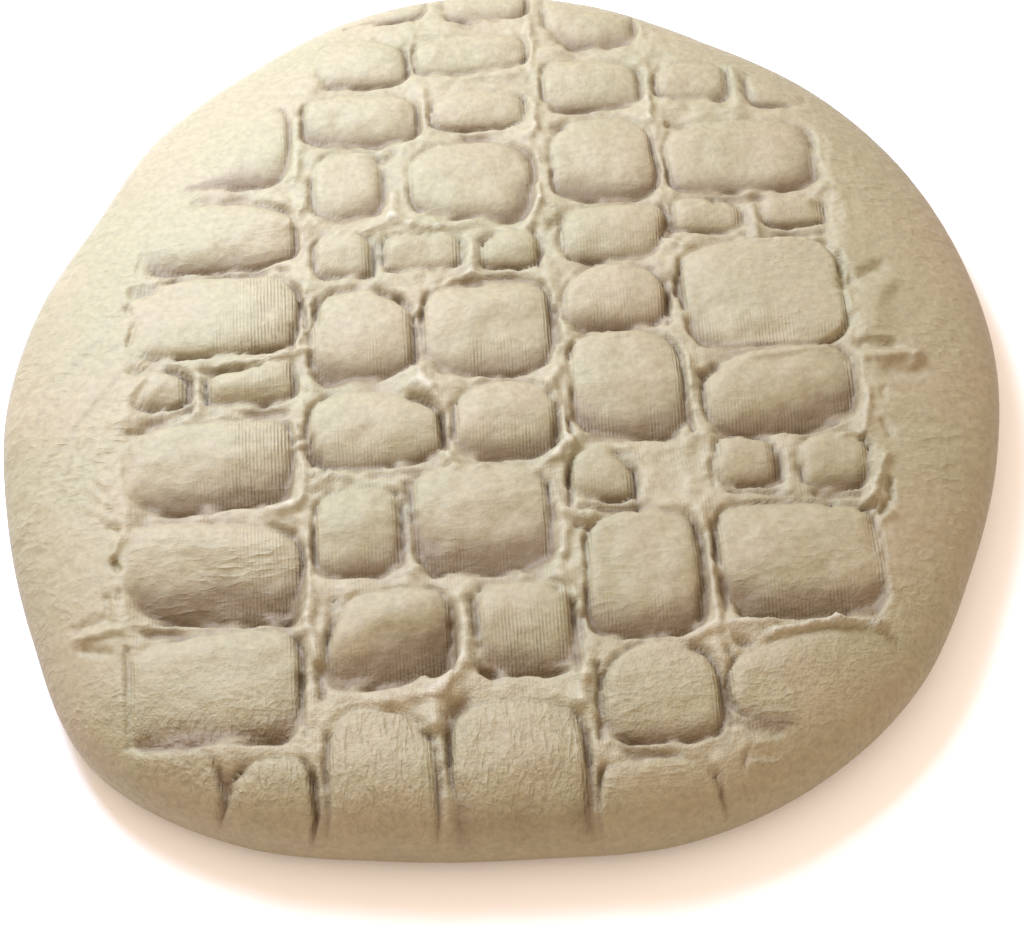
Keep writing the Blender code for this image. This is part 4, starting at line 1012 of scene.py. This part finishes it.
def ridged_value(tree, vector, scale, detail, roughness, distortion=0.0):
    """Noise that stands in sharp ridges."""
    made = add(tree, "TexNoise", {
        "Vector": vector, "Scale": scale, "Detail": detail, "Roughness": roughness,
        "Offset": 0.95, "Gain": 1.0, "Distortion": distortion},
        noise_type="RIDGED_MULTIFRACTAL")
    return made.outputs["Fac"]


# How strongly the mortar takes its paler tint, its highest crests their painted highlight, and the
# grooves their painted shade
TINT_AND_HIGHLIGHT_STRENGTH = 0.8
GROOVE_SHADE_STRENGTH = 0.85

# In metres: how far the printed lines waver, and the heights of the lines, the grain, the grain
# that the crumbs add, the wrinkles, the strands, the crumbs and the table's grain
LINE_WAVER = 0.00012
LINE_HEIGHT = 0.000026
GRAIN_HEIGHT = 0.000042
CRUMB_GRAIN_HEIGHT = 0.000030
WRINKLE_HEIGHT = 0.000045
STRAND_HEIGHT = 0.000042
CRUMB_HEIGHT = 0.000014
TABLE_GRAIN_HEIGHT = 0.00002

# The scale of each noise, in forms for each metre
TONE_SCALE = 160.0
WRINKLE_PATCH_SCALE = 330.0
LINE_WAVER_SCALE = 700.0
TABLE_GRAIN_SCALE = 900.0
WRINKLE_SCALE = 1500.0
STRAND_SCALE = 2300.0
SPECK_SCALE = 2600.0
GRAIN_SCALE = 3200.0
CRUMB_SCALE = 3300.0
LINE_PATCH_SCALE = 3600.0

CLAY_ROUGHNESS = 0.66
TABLE_ROUGHNESS = 0.85


def clay_colour(tree, place, masks, colours):
    """Clouds of two tones, a paler mortar tint with a painted highlight on its highest crests, painted
    shade in the grooves, and fine specks.
    """
    tone = ranged(tree, noise_value(tree, place, TONE_SCALE, 2.0), 0.35, 0.65, 0.1, 0.9)
    colour = mixed(tree, tone, tuple(colours.clay), tuple(colours.olive))
    # Paler tint on the mortar and a painted highlight on its highest crests
    mortar_tint_and_highlight = product(tree, masks["mortar_tint_and_highlight"], TINT_AND_HIGHLIGHT_STRENGTH)
    colour = mixed(tree, mortar_tint_and_highlight, colour, tuple(colours.mortar_tint_and_highlight))
    # Painted shade darkening the grooves
    painted_groove_shade = product(tree, masks["painted_groove_shade"], GROOVE_SHADE_STRENGTH)
    colour = mixed(tree, painted_groove_shade, colour, tuple(colours.painted_groove_shade))
    speck = ranged(tree, noise_value(tree, place, SPECK_SCALE, 2.0), 0.3, 0.7, 0.9, 1.1)
    return shaded(tree, colour, speck)


def printed_lines(tree, place, mask, pitch):
    """The roller's fine lines along Y, broken into patches, from -1 to 1."""
    across = add(tree, "SeparateXYZ", {0: place}).outputs["X"]
    waver = maths(tree, "SUBTRACT", noise_value(tree, place, LINE_WAVER_SCALE, 2.0), 0.5)
    across = maths(tree, "ADD", across, product(tree, waver, LINE_WAVER))
    lines = maths(tree, "SINE", product(tree, across, math.tau / pitch))
    long_place = stretched(tree, place, (1.0, 0.12, 1.0))
    patches = noise_value(tree, long_place, LINE_PATCH_SCALE, 3.0)
    return product(tree, lines, ranged(tree, patches, 0.36, 0.64, 0.05, 1.0), mask)


def grain_relief(tree, place, masks):
    coarse = maths(tree, "MULTIPLY_ADD", masks["crumbs"], CRUMB_GRAIN_HEIGHT, GRAIN_HEIGHT)
    return product(tree, noise_value(tree, place, GRAIN_SCALE, 4.0, 0.6), coarse)


def wrinkle_relief(tree, place, masks):
    leather = stretched(tree, place, (0.40, 1.0, 1.0), turn=0.45)
    wrinkles = ridged_value(tree, leather, WRINKLE_SCALE, 4.0, 0.65)
    patches = noise_value(tree, place, WRINKLE_PATCH_SCALE, 2.0)
    patches = ranged(tree, patches, 0.38, 0.62, 0.1, 1.0)
    return product(tree, wrinkles, product(tree, masks["wrinkles"], patches), WRINKLE_HEIGHT)


def crumb_relief(tree, place, masks, curls):
    """The pulled strands of the near stones and the crumbs of the near rim."""
    long_place = stretched(tree, place, (1.0, 0.25, 1.0))
    strands = ridged_value(tree, long_place, STRAND_SCALE, 3.0, 0.6, 0.4)
    strands = product(tree, strands, product(tree, masks["strands"], STRAND_HEIGHT))
    crumbs = product(tree, curls, product(tree, masks["crumbs"], CRUMB_HEIGHT))
    return maths(tree, "ADD", strands, crumbs)


def clay_material(colours, sizes):
    material, tree = new_material("rolled_clay")
    place = add(tree, "TexCoord").outputs["Object"]
    masks = {
        key: add(tree, "Attribute", attribute_name=key).outputs["Fac"]
        for key in ("painted_groove_shade", "mortar_tint_and_highlight", "lines", "wrinkles", "strands", "crumbs")
    }
    lines = printed_lines(tree, place, masks["lines"], sizes.line_pitch)
    curls = ridged_value(tree, place, CRUMB_SCALE, 3.0, 0.6, 0.2)
    # Painted light and shade on the near rim's crumbs: paler on their ridges, darker between them
    painted_crumb_shade = product(tree, ranged(tree, curls, 0.2, 1.3, -0.03, 0.08), masks["crumbs"])
    colour = clay_colour(tree, place, masks, colours)
    # Painted shade in the valleys of the roller's fine lines
    colour = shaded(tree, colour, ranged(tree, lines, -1.0, 0.2, 0.72, 1.0))
    colour = shaded(tree, colour, maths(tree, "ADD", painted_crumb_shade, 1.0))

    lines = product(tree, lines, LINE_HEIGHT)
    fine = maths(tree, "ADD", lines, grain_relief(tree, place, masks))
    crumbs = crumb_relief(tree, place, masks, curls)
    coarse = maths(tree, "ADD", wrinkle_relief(tree, place, masks), crumbs)
    relief = maths(tree, "ADD", fine, coarse)
    bump = add(tree, "Bump", {"Height": relief, "Distance": 1.0, "Strength": 1.0})
    surface = add(tree, "BsdfPrincipled", {
        "Base Color": colour, "Roughness": CLAY_ROUGHNESS, "Normal": bump.outputs[0],
        "Specular IOR Level": 0.5})
    add(tree, "OutputMaterial", {"Surface": surface.outputs[0]})
    return material


def table_material(settings):
    material, tree = new_material("pale_table")
    place = add(tree, "TexCoord").outputs["Object"]
    fibre = noise_value(tree, place, TABLE_GRAIN_SCALE, 4.0)
    bump = add(tree, "Bump", {
        "Height": fibre, "Distance": TABLE_GRAIN_HEIGHT, "Strength": 0.4})
    surface = add(tree, "BsdfPrincipled", {
        "Base Color": tuple(settings.table), "Roughness": TABLE_ROUGHNESS,
        "Normal": bump.outputs[0]})
    add(tree, "OutputMaterial", {"Surface": surface.outputs[0]})
    return material


# Pieces, studio and panel


class CLAY_OT_roll_pat(bpy.types.Operator):
    """Press the pat of clay and roll the cobblestones into it"""

    bl_idname = "clay.roll_pat"
    bl_label = "Roll Clay Pat"

    def execute(self, context):
        sizes = context.scene.clay_sizes
        mesh = make_lump(sizes, "rolled_clay_pat")
        press_into_shape(mesh, sizes)
        mesh.shade_smooth()
        mesh.materials.append(clay_material(context.scene.clay_colours, sizes))
        pat = bpy.data.objects.new("rolled_clay_pat", mesh)
        context.scene.collection.objects.link(pat)
        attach(pat, "root")
        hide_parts("clay_slab")
        return {"FINISHED"}


# The table, the window and the light all round: sizes and places in metres, and colours
TABLE_HALF_WIDTH = 0.6
WINDOW_PLACE = (-0.035, 0.045, 0.070)
WINDOW_SIZE = 0.05
WINDOW_COLOUR = (0.647, 0.785, 1.0)
ROOM_COLOUR = (1.0, 0.823, 0.633, 1.0)

# In millimetres: the camera's place and the place that it looks at, from the point that the
# outline is measured from, and the width of its sensor
EYE = (-5.94, -95.91, 130.76)
AIM = (0.0, -8.75, 6.0)
SENSOR_WIDTH = 36.0


def lay_table(scene, settings):
    bm = bmesh.new()
    bmesh.ops.create_grid(bm, x_segments=1, y_segments=1, size=TABLE_HALF_WIDTH)
    mesh = bpy.data.meshes.new("table_top")
    bm.to_mesh(mesh)
    bm.free()
    mesh.materials.append(table_material(settings))
    table = bpy.data.objects.new("table_top", mesh)
    scene.collection.objects.link(table)


def light_room(scene, settings):
    """A soft room all round, and a window close by, high over the far left."""
    world = bpy.data.worlds.new("soft_room")
    world.use_nodes = True
    background = world.node_tree.nodes["Background"]
    background.inputs["Color"].default_value = ROOM_COLOUR
    background.inputs["Strength"].default_value = settings.fill
    scene.world = world
    light = bpy.data.lights.new("window", "AREA")
    light.shape = "RECTANGLE"
    light.size = WINDOW_SIZE
    light.size_y = WINDOW_SIZE
    light.energy = settings.window_power
    light.color = WINDOW_COLOUR
    window = bpy.data.objects.new("window", light)
    window.location = WINDOW_PLACE
    window.rotation_euler = (-Vector(WINDOW_PLACE)).to_track_quat("-Z", "Y").to_euler()
    window.visible_camera = False
    scene.collection.objects.link(window)


def place_camera(scene, settings):
    camera = bpy.data.cameras.new("camera")
    camera.lens = settings.lens
    camera.sensor_width = SENSOR_WIDTH
    camera.clip_start = 0.01
    middle_x, middle_y = middle_of_outline()
    eye = Vector((EYE[0] - middle_x, EYE[1] - middle_y, EYE[2])) * MM
    aim = Vector((AIM[0] - middle_x, AIM[1] - middle_y, AIM[2])) * MM
    view = bpy.data.objects.new("camera", camera)
    view.location = eye
    view.rotation_euler = (aim - eye).to_track_quat("-Z", "Y").to_euler()
    scene.collection.objects.link(view)
    scene.camera = view
    scene.view_settings.view_transform = "Standard"


class CLAY_OT_set_studio(bpy.types.Operator):
    """Set the pale table, the light from the far left and the camera"""

    bl_idname = "clay.set_studio"
    bl_label = "Set Studio"

    def execute(self, context):
        scene = context.scene
        lay_table(scene, scene.clay_studio)
        light_room(scene, scene.clay_studio)
        place_camera(scene, scene.clay_studio)
        return {"FINISHED"}


class CLAY_PT_panel(bpy.types.Panel):
    """The pat's sizes and colours, and the buttons that make it"""

    bl_label = "Rolled Clay Pat"
    bl_idname = "CLAY_PT_panel"
    bl_space_type = "VIEW_3D"
    bl_region_type = "UI"
    bl_category = "Clay"

    def draw(self, context):
        scene = context.scene
        for group in (scene.clay_sizes, scene.clay_colours, scene.clay_studio):
            box = self.layout.box()
            for key in group.__annotations__:
                box.prop(group, key)
        self.layout.operator(CLAY_OT_roll_pat.bl_idname)
        self.layout.operator(CLAY_OT_set_studio.bl_idname)


CLASSES = (
    PatSizes, ClayColours, StudioSettings,
    CLAY_OT_roll_pat, CLAY_OT_set_studio, CLAY_PT_panel,
)


def register():
    for item in CLASSES:
        bpy.utils.register_class(item)
    bpy.types.Scene.clay_sizes = bpy.props.PointerProperty(type=PatSizes)
    bpy.types.Scene.clay_colours = bpy.props.PointerProperty(type=ClayColours)
    bpy.types.Scene.clay_studio = bpy.props.PointerProperty(type=StudioSettings)


def unregister():
    del bpy.types.Scene.clay_sizes
    del bpy.types.Scene.clay_colours
    del bpy.types.Scene.clay_studio
    for item in reversed(CLASSES):
        bpy.utils.unregister_class(item)


def main():
    register()
    bpy.ops.clay.roll_pat()
    bpy.ops.clay.set_studio()


if __name__ == "__main__":
    main()
